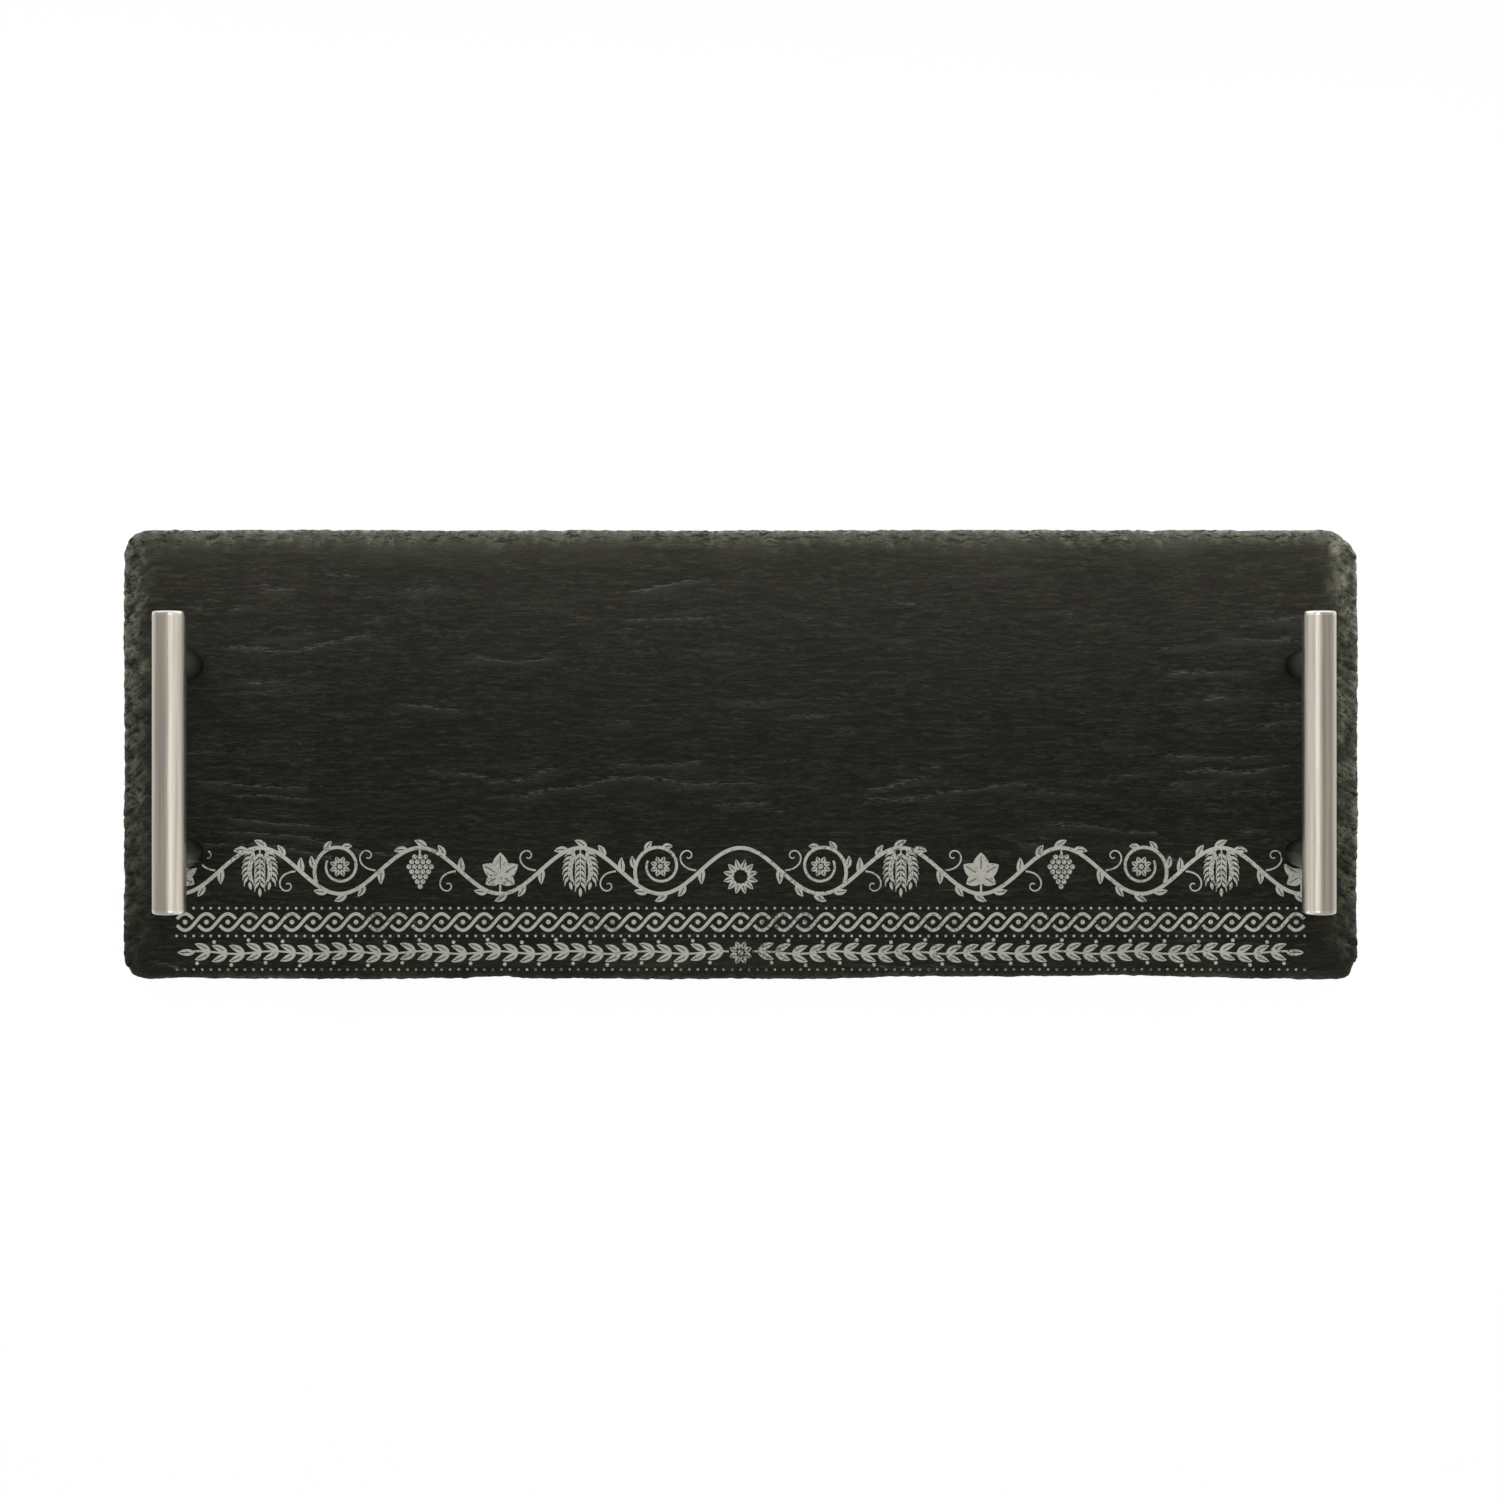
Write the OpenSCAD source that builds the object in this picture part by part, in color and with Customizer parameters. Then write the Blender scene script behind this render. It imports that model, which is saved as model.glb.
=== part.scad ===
// Slate serving board with two raised bar handles, standing on four feet.
// Origin: middle of the surface it stands on. +X runs along the board, +Y to its back, +Z up.

/* [Slate plate] */
// Length of the plate, from the left edge to the right edge
slate_l = 464; // [400:1:560]
// Width of the plate, from the front edge to the back edge
slate_w = 169; // [150:0.5:220]
// Thickness of the plate
slate_t = 6; // [5:0.5:9]
// How far the plate's middle lies behind the handles' middle
slate_back_shift = 1.4; // [0:0.1:1.5]
// How far the plate's middle lies to the left of the handles' middle
slate_left_shift = 1.4; // [0:0.1:1.5]
// Radius of the largest corner
corner_r = 10.5; // [6:0.5:14]

/* [Dressed edge] */
// Width of the chipped slope along the back
back_slope_w = 6.5; // [4:0.5:12]
// Width of the chipped slope along the front
front_slope_w = 3; // [3:0.5:12]
// Width of the chipped slope along both ends
end_slope_w = 10; // [6:0.5:13]
// Height of the broken lip under the slope
lip_t = 2.6; // [1.5:0.1:4]
// How far the underside draws in behind the lip
undercut = 0.8; // [0.2:0.1:2]
// Depth of the slow waves in the outline
wave_d = 0.5; // [0:0.1:2]
// How far the slope's upper line swings in scallops
scallop_d = 1.5; // [0.5:0.1:3]
// Depth of the deepest chip in the outline
chip_d = 1.8; // [0:0.1:4]

/* [Handle bars] */
// Outer diameter of a bar
bar_d = 12; // [10.5:0.5:16]
// Wall of a bar
bar_wall = 1; // [0.8:0.1:1.5]
// Length of a bar with its two end caps
bar_l = 109; // [96:1:160]
// From the plate's end to the middle of the bar
handle_inset = 25; // [20:0.1:40]
// Free height for fingers between the plate and a bar
finger_gap = 24; // [18:0.5:40]
// Thickness of an end cap's rim
cap_t = 1.6; // [1.2:0.1:3]
// Radius on the rim of an end cap
cap_round = 0.9; // [0.3:0.1:1.1]
// Length of an end cap's plug inside the bar
plug_l = 6; // [4:0.5:12]
// Radial play of an end cap's plug in the bar
plug_play = 0.05; // [0.02:0.01:0.1]

/* [Posts] */
// Diameter of a post
post_d = 10; // [8.5:0.5:11.5]
// Distance between the two posts of a handle
post_pitch = 70; // [60:1:84]
// Radial play of the bar in the saddle on top of a post
saddle_play = 0.05; // [0.02:0.01:0.1]
// Flat left on the tips of a saddle, below their sharp end
saddle_land = 0.3; // [0.1:0.1:0.6]
// Chamfer round the foot of a post
post_chamfer = 0.4; // [0.2:0.1:0.8]
// Thickness of the gasket under a post
gasket_t = 0.8; // [0.5:0.1:2]
// Thickness of the gasket's ring
gasket_ring_w = 2.6; // [1.5:0.1:3]

/* [Studs] */
// How far a stud reaches down into its post
stud_in_post = 9; // [6:0.5:10]
// Height of the drawn collar round a stud's hole inside the bar
collar_h = 2.2; // [1.5:0.1:3]
// Wall of that collar
collar_wall = 1.2; // [0.8:0.1:1.6]
// How far a stud stands out above the collar
stud_past = 0.6; // [0:0.1:1.2]
// Width across flats of a stud's key socket
stud_key_w = 2; // [1.3:0.1:2.2]

/* [Screws and washers] */
// Diameter of the screws and studs
thread_d = 4; // [3:0.5:5]
// Radial play of a thread in its tapped hole
thread_play = 0.05; // [0.02:0.01:0.1]
// Radial play of a screw in the plate, the washer and the gasket
hole_play = 0.3; // [0.2:0.05:0.6]
// How far a screw reaches up into its post
screw_in_post = 8; // [6:0.5:9]
// Spare depth of the tapped hole beyond the screw's tip
hole_spare = 1.5; // [0.5:0.1:2]
// Chamfer on a thread's tip
tip_chamfer = 0.5; // [0.2:0.1:0.8]
// Diameter of a screw's head
head_d = 7.6; // [7:0.1:10]
// Height of a screw's head
head_h = 2.2; // [1.8:0.1:2.6]
// Width across flats of a screw's key socket
key_w = 2.5; // [2:0.1:2.6]
// Depth of a key socket, in a screw or a stud
key_depth = 1.3; // [0.8:0.1:1.5]
// Diameter of a washer
washer_d = 12; // [9:0.5:16]
// Thickness of a washer
washer_t = 1; // [0.5:0.1:1.4]

/* [Feet] */
// Diameter of a foot against the plate
foot_d = 12; // [8:0.5:16]
// Height of a foot
foot_h = 4.5; // [4.2:0.1:8]
// How much smaller a foot's radius is on the table
foot_draft = 1; // [0:0.1:2]
// Radius on the lower rim of a foot
foot_round = 0.8; // [0.3:0.1:1.5]
// From the plate's end to the middle of a foot
foot_end_inset = 44; // [38:1:80]
// From the plate's long edge to the middle of a foot
foot_side_inset = 22; // [16:0.5:24]

/* [Hidden] */
// Which node to draw
$fn = 48;
// How far a cut runs past what it cuts
overrun = 1;

slate_color = "#2c2b26";
steel_color = "#bdb6aa";
rubber_color = "#1d1d1c";

side_names = ["left", "right"];
end_names = ["front", "back"];
fixing_names = ["bar_cap", "post", "stud", "gasket", "screw", "washer", "foot"];

// Heights
slate_bottom = foot_h;
slate_top = slate_bottom + slate_t;
gasket_top = slate_top + gasket_t;
bar_r = bar_d / 2;
bar_z = slate_top + finger_gap + bar_r;
thread_r = thread_d / 2;
hole_r = thread_r + hole_play;
tapped_r = thread_r + thread_play;

// Places
handle_x = slate_l / 2 - handle_inset;
foot_x = slate_l / 2 - foot_end_inset;
foot_y = slate_w / 2 - foot_side_inset;
tube_l = bar_l - 2 * cap_t;

// Outline of the plate

// Radius of each corner, from the back right one and on to the left, as a share of corner_r
corner_r_shares = [1, 0.9, 0.86, 0.74];
// Points along each stretch: the right end, a corner, the back, a corner and so on
end_steps = 20;
corner_steps = 6;
long_steps = 60;
ring_n = 2 * end_steps + 2 * long_steps + 4 * corner_steps;
// The outline's slow waves: [turns round the plate, phase, share of the wave's depth]
wave_shares = [[5, 40, 0.3], [11, 200, 0.26], [23, 95, 0.2], [41, 310, 0.14], [67, 20, 0.1]];
// Single chips: [place round the plate, half width, depth as a share of chip_d]
chip_shares = [
    [0.013, 0.006, 0.3], [0.058, 0.01, 0.15], [0.125, 0.02, 0.8], [0.311, 0.006, 0.15],
    [0.56, 0.012, 0.1], [0.652, 0.008, 0.3], [0.737, 0.012, 0.4], [0.803, 0.008, 0.15],
    [0.86, 0.04, 0.55], [0.905, 0.04, 0.65], [0.99, 0.01, 0.7]
];
// Scallops along the slope's upper line: [turns round the plate, phase, share of their depth]
scallop_shares = [[31, 0, 0.45], [53, 130, 0.35], [17, 70, 0.2]];
// The slope's middle line: its share of the slope's width and of its height
slope_bulge_shares = [0.45, 0.55];
// Height of the lip's lower edge, as a share of the lip's height
lip_low_share = 0.3;
// Radius of a corner of the slope's upper line, as a share of the corner's own radius
upper_corner_share = 0.6;
// A chip or scallop in a corner reaches at most this share of the corner's radius
corner_limit_share = 0.8;

// Inward depth of the waves at a place round the plate, from 0 to wave_d
function wave_in(u) =
    wave_d * (1 - sum([for (w = wave_shares) w[2] * sin(360 * w[0] * u + w[1])])) / 2;
// Inward depth of the chips at a place round the plate
function chip_in(u) =
    chip_d * sum([for (c = chip_shares) c[2] * bump((u - c[0]) / c[1])]);
// Inward swing of the scallops, pointed towards the edge and round towards the middle
function scallop_in(u) =
    scallop_d * sum([for (s = scallop_shares) s[2] * abs(sin(180 * s[0] * u + s[1]))]);
function bump(t) = abs(t) < 1 ? pow(1 - t * t, 2) : 0;
function sum(list, i = 0) = i < len(list) ? list[i] + sum(list, i + 1) : 0;

// The four sides of a ring that is drawn in by each slope's own width, counted from the plate's middle
function ring_sides(share) = [
    slate_l / 2 - share * end_slope_w,
    slate_w / 2 - share * back_slope_w,
    slate_w / 2 - share * front_slope_w
];
// Radius of one corner of such a ring
function ring_r(corner, share) =
    corner_r * corner_r_shares[corner] * (1 - share * (1 - upper_corner_share));
// Middle of one corner's arc
function corner_middle(corner, share) =
    let (sides = ring_sides(share), r = ring_r(corner, share))
    [(corner == 0 || corner == 3 ? 1 : -1) * (sides[0] - r),
     corner < 2 ? sides[1] - r : r - sides[2]];
// A point on one corner's arc, its outward direction and how far it may draw in; t runs from 0 to 1
function corner_point(corner, share, t) =
    let (a = 90 * (corner + t), out = [cos(a), sin(a)], r = ring_r(corner, share))
    [corner_middle(corner, share) + r * out, out, r * corner_limit_share];
// The same between the end of one corner's arc and the start of the next one's
function side_point(corner, share, t) =
    let (from = corner_point(corner, share, 1), to = corner_point((corner + 1) % 4, share, 0))
    [from[0] * (1 - t) + to[0] * t, from[1], slate_w / 2];
// One ring's plain points, anticlockwise from the front right corner's end
function plain_ring(share) = concat(
    [for (i = [0 : end_steps - 1]) side_point(3, share, i / end_steps)],
    [for (i = [0 : corner_steps - 1]) corner_point(0, share, i / corner_steps)],
    [for (i = [0 : long_steps - 1]) side_point(0, share, i / long_steps)],
    [for (i = [0 : corner_steps - 1]) corner_point(1, share, i / corner_steps)],
    [for (i = [0 : end_steps - 1]) side_point(1, share, i / end_steps)],
    [for (i = [0 : corner_steps - 1]) corner_point(2, share, i / corner_steps)],
    [for (i = [0 : long_steps - 1]) side_point(2, share, i / long_steps)],
    [for (i = [0 : corner_steps - 1]) corner_point(3, share, i / corner_steps)]
);
// One ring of the plate: share of the slope that lies outside it, extra draw and height
function ring(share, draw, z) =
    let (plain = plain_ring(share))
    [for (i = [0 : ring_n - 1])
        let (
            u = i / ring_n,
            inward = draw + wave_in(u) + (1 - share) * chip_in(u) + share * scallop_in(u),
            at = plain[i][0] - min(inward, plain[i][2]) * plain[i][1]
        )
        [at[0] - slate_left_shift, at[1] + slate_back_shift, z]];
// Two triangles between neighbouring points of two rings
function strip_faces(ring_i) = [
    for (i = [0 : ring_n - 1])
        let (
            a = ring_i * ring_n + i,
            b = ring_i * ring_n + (i + 1) % ring_n,
            c = b + ring_n,
            d = a + ring_n
        )
        each [[a, c, b], [a, d, c]]
];

module slate_blank() {
    slope_h = slate_t - lip_t;
    rings = [
        ring(0, undercut, slate_bottom),
        ring(0, 0, slate_bottom + lip_t * lip_low_share),
        ring(0, 0, slate_bottom + lip_t),
        ring(slope_bulge_shares[0], 0, slate_bottom + lip_t + slope_h * slope_bulge_shares[1]),
        ring(1, 0, slate_top)
    ];
    last = len(rings) - 1;
    polyhedron(
        points = [for (r = rings) each r],
        faces = concat(
            [[for (i = [0 : ring_n - 1]) i]],
            [for (r = [0 : last - 1]) each strip_faces(r)],
            [[for (i = [ring_n - 1 : -1 : 0]) last * ring_n + i]]
        ),
        convexity = 4
    );
}

// The dressed plate with a clear hole for each screw
module slate_plate() {
    color(slate_color)
    difference() {
        slate_blank();
        for (side = [0, 1], end = [0, 1])
            at_post(side, end, slate_bottom - overrun)
                cylinder(r = hole_r, h = slate_t + 2 * overrun);
    }
}

// Puts its children on the axis of one post, at the height z
module at_post(side, end, z) {
    translate([(2 * side - 1) * handle_x, (2 * end - 1) * post_pitch / 2, z])
        children();
}

// Turns what stands up so that it points to the front or to the back
module towards_end(end) {
    rotate([end == 0 ? 90 : -90, 0, 0])
        children();
}

// A cylinder on the axis of one bar
module bar_rod(side, r, l) {
    translate([(2 * side - 1) * handle_x, 0, bar_z])
        rotate([90, 0, 0])
            cylinder(r = r, h = l, center = true);
}

// The tube, with a drawn collar inside for each stud
module bar(side) {
    bore_r = bar_r - bar_wall;
    collar_top = bar_z - bore_r + collar_h;
    color(steel_color)
    difference() {
        bar_rod(side, bar_r, tube_l);
        difference() {
            bar_rod(side, bore_r, tube_l + 2 * overrun);
            for (end = [0, 1])
                at_post(side, end, bar_z - bar_r)
                    cylinder(r = tapped_r + collar_wall, h = collar_top - bar_z + bar_r);
        }
        for (end = [0, 1])
            at_post(side, end, bar_z - bar_r - overrun)
                cylinder(r = tapped_r, h = collar_top - bar_z + bar_r + 2 * overrun);
    }
}

// A turned cap with a plug that fits the tube's bore
module bar_cap(side, end) {
    plug_r = bar_r - bar_wall - plug_play;
    rim_steps = 6;
    profile = concat(
        [[0, -plug_l], [plug_r, -plug_l], [plug_r, 0], [bar_r, 0]],
        [for (i = [0 : rim_steps])
            [bar_r - cap_round + cap_round * cos(90 * i / rim_steps),
             cap_t - cap_round + cap_round * sin(90 * i / rim_steps)]],
        [[0, cap_t]]
    );
    color(steel_color)
    translate([(2 * side - 1) * handle_x, (2 * end - 1) * tube_l / 2, bar_z])
        towards_end(end)
            rotate_extrude()
                polygon(profile);
}

// A round post with a saddle for the bar and a tapped hole at each end
module post(side, end) {
    post_r = post_d / 2;
    saddle_r = bar_r + saddle_play;
    post_top = bar_z - sqrt(saddle_r * saddle_r - post_r * post_r) - saddle_land;
    color(steel_color)
    difference() {
        at_post(side, end, gasket_top) {
            cylinder(r1 = post_r - post_chamfer, r2 = post_r, h = post_chamfer);
            translate([0, 0, post_chamfer])
                cylinder(r = post_r, h = post_top - gasket_top - post_chamfer);
        }
        bar_rod(side, saddle_r, post_d + 2 * overrun + post_pitch);
        at_post(side, end, gasket_top - overrun)
            cylinder(r = tapped_r, h = screw_in_post + hole_spare + overrun);
        at_post(side, end, bar_z - bar_r - stud_in_post)
            cylinder(r = tapped_r, h = stud_in_post + bar_r);
    }
}

// A headless stud, screwed into the bar from below and into the post from above
module stud(side, end) {
    stud_l = stud_in_post + bar_wall + collar_h + stud_past;
    color(steel_color)
    at_post(side, end, bar_z - bar_r - stud_in_post)
        difference() {
            rotate_extrude()
                polygon([
                    [0, 0], [thread_r - tip_chamfer, 0], [thread_r, tip_chamfer],
                    [thread_r, stud_l - tip_chamfer], [thread_r - tip_chamfer, stud_l], [0, stud_l]
                ]);
            translate([0, 0, -overrun])
                key_socket(key_depth + overrun, stud_key_w);
        }
}

// A six-sided socket, standing on its open end
module key_socket(depth, across) {
    cylinder(d = across / cos(30), h = depth, $fn = 6);
}

// A flat ring that keeps the post off the stone
module gasket(side, end) {
    color(rubber_color)
    at_post(side, end, slate_top)
        difference() {
            cylinder(r = hole_r + gasket_ring_w, h = gasket_t);
            translate([0, 0, -overrun])
                cylinder(r = hole_r, h = gasket_t + 2 * overrun);
        }
}

// A button-head screw, from under the washer up into the post
module screw(side, end) {
    head_r = head_d / 2;
    shank_l = washer_t + slate_t + gasket_t + screw_in_post;
    dome_steps = 6;
    // The head's flat top ends where its dome has this slope
    dome_from = 28;
    profile = concat(
        [[0, -head_h * cos(dome_from)]],
        [for (i = [0 : dome_steps])
            let (a = dome_from + (90 - dome_from) * i / dome_steps)
            [head_r * sin(a), -head_h * cos(a)]],
        [[thread_r, 0], [thread_r, shank_l - tip_chamfer], [thread_r - tip_chamfer, shank_l], [0, shank_l]]
    );
    color(steel_color)
    at_post(side, end, slate_bottom - washer_t)
        difference() {
            rotate_extrude()
                polygon(profile);
            translate([0, 0, -head_h - overrun])
                key_socket(key_depth + overrun, key_w);
        }
}

// A flat washer under the plate
module washer(side, end) {
    color(steel_color)
    at_post(side, end, slate_bottom - washer_t)
        difference() {
            cylinder(r = washer_d / 2, h = washer_t);
            translate([0, 0, -overrun])
                cylinder(r = hole_r, h = washer_t + 2 * overrun);
        }
}

// A soft foot, narrower on the table than against the plate
module foot(side, end) {
    top_r = foot_d / 2;
    low_r = top_r - foot_draft;
    rim_steps = 5;
    profile = concat(
        [[0, 0]],
        [for (i = [0 : rim_steps])
            [low_r - foot_round + foot_round * sin(90 * i / rim_steps),
             foot_round - foot_round * cos(90 * i / rim_steps)]],
        [[top_r, foot_h], [0, foot_h]]
    );
    color(rubber_color)
    translate([(2 * side - 1) * foot_x - slate_left_shift, (2 * end - 1) * foot_y + slate_back_shift, 0])
        rotate_extrude()
            polygon(profile);
}

slate_plate();
for (side = [0, 1]) {
    bar(side);
    for (end = [0, 1]) {
        place = str(side_names[side], "_", end_names[end], "_");
        bar_cap(side, end);
        post(side, end);
        stud(side, end);
        gasket(side, end);
        screw(side, end);
        washer(side, end);
        foot(side, end);
    }
}
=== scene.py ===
"""The looks of a dark slate serving board with two brushed steel bar handles."""

import math

import bpy
import numpy as np
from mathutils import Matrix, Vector
from mathutils.geometry import delaunay_2d_cdt
from mathutils.kdtree import KDTree


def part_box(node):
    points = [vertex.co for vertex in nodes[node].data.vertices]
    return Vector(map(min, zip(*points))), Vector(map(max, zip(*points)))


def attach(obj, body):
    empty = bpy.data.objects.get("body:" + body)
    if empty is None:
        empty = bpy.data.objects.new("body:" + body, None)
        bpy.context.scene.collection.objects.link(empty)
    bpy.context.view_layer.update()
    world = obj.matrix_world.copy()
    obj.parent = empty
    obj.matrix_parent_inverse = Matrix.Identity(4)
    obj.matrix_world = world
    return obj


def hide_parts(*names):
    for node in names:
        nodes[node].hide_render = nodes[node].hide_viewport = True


MM = 0.001
SIDES = ("left", "right")
ENDS = ("front", "back")

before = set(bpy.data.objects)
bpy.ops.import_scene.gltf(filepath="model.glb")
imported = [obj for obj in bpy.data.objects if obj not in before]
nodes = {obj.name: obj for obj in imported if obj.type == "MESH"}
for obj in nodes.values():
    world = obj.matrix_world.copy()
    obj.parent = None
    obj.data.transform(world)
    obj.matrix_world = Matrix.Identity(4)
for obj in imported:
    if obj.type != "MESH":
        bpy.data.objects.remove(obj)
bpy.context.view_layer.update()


def box_mm(node):
    """A node's lowest and highest corners in millimetres."""
    low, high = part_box(node)
    return np.array(low) / MM, np.array(high) / MM


# Sizes of the frame, in millimetres
plate_low, plate_high = box_mm("slate_plate")
slate_bottom, slate_top = plate_low[2], plate_high[2]
plate_middle = (plate_low + plate_high)[:2] / 2
post_places = []
foot_places = []
for side in SIDES:
    for end in ENDS:
        post_places.append(sum(box_mm(f"{side}_{end}_post"))[:2] / 2)
        foot_places.append(sum(box_mm(f"{side}_{end}_foot"))[:2] / 2)
post_r, washer_r, foot_r = (
    np.ptp(box_mm(f"left_front_{piece}"), axis=0)[0] / 2 for piece in ("post", "washer", "foot")
)
# Clear hole of a screw through the stone
HOLE_R = 2.3


# Camera: straight above the board, as a shop's picture is taken
PHOTO_PX = 1500
FOCAL_MM, SENSOR_MM = 50, 36
CAMERA_ABOVE_SLATE = 780
CAMERA_X, CAMERA_Y = 2.1, 33.6
PLATE_MIDDLE_PX = 754.8


def link_object(name, data):
    """A new object in the scene that shows this data."""
    thing = bpy.data.objects.new(name, data)
    bpy.context.scene.collection.objects.link(thing)
    return thing


def make_camera():
    """The camera looks straight down, and its shift puts the plate at its height in the picture."""
    data = bpy.data.cameras.new("camera")
    data.lens = FOCAL_MM
    data.sensor_width = SENSOR_MM
    px_per_mm = PHOTO_PX * FOCAL_MM / SENSOR_MM / CAMERA_ABOVE_SLATE
    below_centre_px = PLATE_MIDDLE_PX - PHOTO_PX / 2
    data.shift_y = (below_centre_px - (CAMERA_Y - plate_middle[1]) * px_per_mm) / PHOTO_PX
    data.clip_end = 10
    camera = link_object("camera", data)
    camera.location = (CAMERA_X * MM, CAMERA_Y * MM, (slate_top + CAMERA_ABOVE_SLATE) * MM)
    bpy.context.scene.camera = camera


# Node trees


def paint(hex_colour):
    """An sRGB hex colour as the linear RGBA of a node socket."""
    channels = [int(hex_colour[i:i + 2], 16) / 255 for i in (1, 3, 5)]
    linear = [c / 12.92 if c <= 0.04045 else ((c + 0.055) / 1.055) ** 2.4 for c in channels]
    return (*linear, 1.0)


def add(tree, kind, inputs=None, **settings):
    """Adds a node. Inputs go by name or number, and each is a value or the output that feeds it."""
    node = tree.nodes.new(kind)
    for name, value in settings.items():
        setattr(node, name, value)
    for key, value in (inputs or {}).items():
        if isinstance(value, bpy.types.NodeSocket):
            tree.links.new(value, node.inputs[key])
        else:
            node.inputs[key].default_value = value
    return node


def new_material(name):
    """An empty material and its tree, ending in an output node."""
    material = bpy.data.materials.new(name)
    material.use_nodes = True
    tree = material.node_tree
    tree.nodes.clear()
    return material, tree


# Colour sockets of a Mix node that mixes colours, and its result
FACTOR, FIRST, SECOND, MIXED = 0, 6, 7, 2


def stone_pattern(tree):
    """Riven slate: colour, height in millimetres and grit of its layers, which run along the board."""
    place = add(tree, "ShaderNodeTexCoord").outputs["Object"]
    # Patches of 60 by 20 mm, ripples of 9 by 4 mm, combed streaks of 9 by 1.1 mm, scales of 3.5 by 0.5 mm
    broad = add(
        tree, "ShaderNodeMapping", {"Vector": place, "Scale": (0.06, 0.02, 0.03)}, vector_type="TEXTURE",
    )
    cloud = add(tree, "ShaderNodeTexNoise", {"Vector": broad.outputs[0], "Scale": 1.0, "Detail": 4.0})
    small = add(
        tree, "ShaderNodeMapping", {"Vector": place, "Scale": (0.009, 0.004, 0.006)}, vector_type="TEXTURE",
    )
    ripple = add(tree, "ShaderNodeTexNoise", {"Vector": small.outputs[0], "Scale": 1.0, "Detail": 2.0})
    sway = place
    for noise, reach in ((cloud, (0.004, 0.006, 0.0)), (ripple, (0.001, 0.0022, 0.0))):
        sway = add(
            tree, "ShaderNodeVectorMath", {0: noise.outputs["Color"], 1: reach, 2: sway},
            operation="MULTIPLY_ADD",
        ).outputs[0]
    layers = []
    for size, detail, rough in (((0.009, 0.0011, 0.003), 4.0, 0.62), ((0.0035, 0.0005, 0.0015), 3.0, 0.6)):
        stretched = add(tree, "ShaderNodeMapping", {"Vector": sway, "Scale": size}, vector_type="TEXTURE")
        layers.append(add(
            tree, "ShaderNodeTexNoise",
            {"Vector": stretched.outputs[0], "Scale": 1.0, "Detail": detail, "Roughness": rough},
        ).outputs["Fac"])
    streak, grain = layers
    grit = add(
        tree, "ShaderNodeTexNoise", {"Vector": place, "Scale": 2400.0, "Detail": 2.0, "Roughness": 0.6},
    ).outputs["Fac"]
    # The streaks stand out only in patches
    patch = add(
        tree, "ShaderNodeMapRange",
        {"Value": cloud.outputs["Fac"], "From Min": 0.4, "From Max": 0.66, "To Min": 0.05, "To Max": 0.22},
    ).outputs[0]
    # A layer ends where the level that the mesh carries reaches a whole number
    level = add(tree, "ShaderNodeAttribute", attribute_name="level").outputs["Fac"]
    wavy = level
    for part, weight in ((streak, 0.6), (grain, 0.25)):
        wavy = add(
            tree, "ShaderNodeMath", {0: part, 1: weight, 2: wavy}, operation="MULTIPLY_ADD",
        ).outputs[0]
    share = add(tree, "ShaderNodeMath", {0: wavy}, operation="FRACT").outputs[0]
    whole = add(tree, "ShaderNodeMath", {0: wavy}, operation="FLOOR").outputs[0]
    step = add(
        tree, "ShaderNodeMapRange", {"Value": share, "From Min": 0.9}, interpolation_type="SMOOTHSTEP",
    ).outputs[0]
    stair = add(tree, "ShaderNodeMath", {0: whole, 1: step}, operation="ADD").outputs[0]
    # Thinner layers end every 2.6 mm or so, in wavy lines that come and go
    up = add(tree, "ShaderNodeSeparateXYZ", {"Vector": sway}).outputs["Y"]
    wander = add(
        tree, "ShaderNodeMath", {0: ripple.outputs["Fac"], 1: 2.4, 2: streak}, operation="MULTIPLY_ADD",
    ).outputs[0]
    count = add(
        tree, "ShaderNodeMath", {0: up, 1: 1 / 0.0026, 2: wander}, operation="MULTIPLY_ADD",
    ).outputs[0]
    thin = add(tree, "ShaderNodeMath", {0: count}, operation="FRACT").outputs[0]
    line = add(tree, "ShaderNodeMapRange", {"Value": thin, "From Min": 0.7, "From Max": 0.92}).outputs[0]
    lined = add(tree, "ShaderNodeMapRange", {"Value": streak, "From Min": 0.42, "From Max": 0.62}).outputs[0]
    line = add(tree, "ShaderNodeMath", {0: line, 1: lined}, operation="MULTIPLY").outputs[0]
    height = add(tree, "ShaderNodeMath", {0: streak, 1: patch}, operation="MULTIPLY").outputs[0]
    for part, weight in ((stair, 0.08), (line, 0.05), (grain, 0.06), (grit, 0.02)):
        height = add(
            tree, "ShaderNodeMath", {0: part, 1: weight, 2: height}, operation="MULTIPLY_ADD",
        ).outputs[0]
    # Grey-black, paler where the streaks rise
    dark = add(
        tree, "ShaderNodeMix",
        {FACTOR: cloud.outputs["Fac"], FIRST: paint("#0f0f0b"), SECOND: paint("#171611")},
        data_type="RGBA",
    ).outputs[MIXED]
    both = streak
    for part, weight in ((grain, 1.1), (grit, 1.15), (line, 0.3)):
        both = add(
            tree, "ShaderNodeMath", {0: part, 1: weight, 2: both}, operation="MULTIPLY_ADD",
        ).outputs[0]
    pale = add(
        tree, "ShaderNodeMapRange",
        {"Value": both, "From Min": 1.53, "From Max": 2.11, "To Max": 0.95},
    ).outputs[0]
    colour = add(
        tree, "ShaderNodeMix", {FACTOR: pale, FIRST: dark, SECOND: paint("#35342d")}, data_type="RGBA",
    ).outputs[MIXED]
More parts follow.
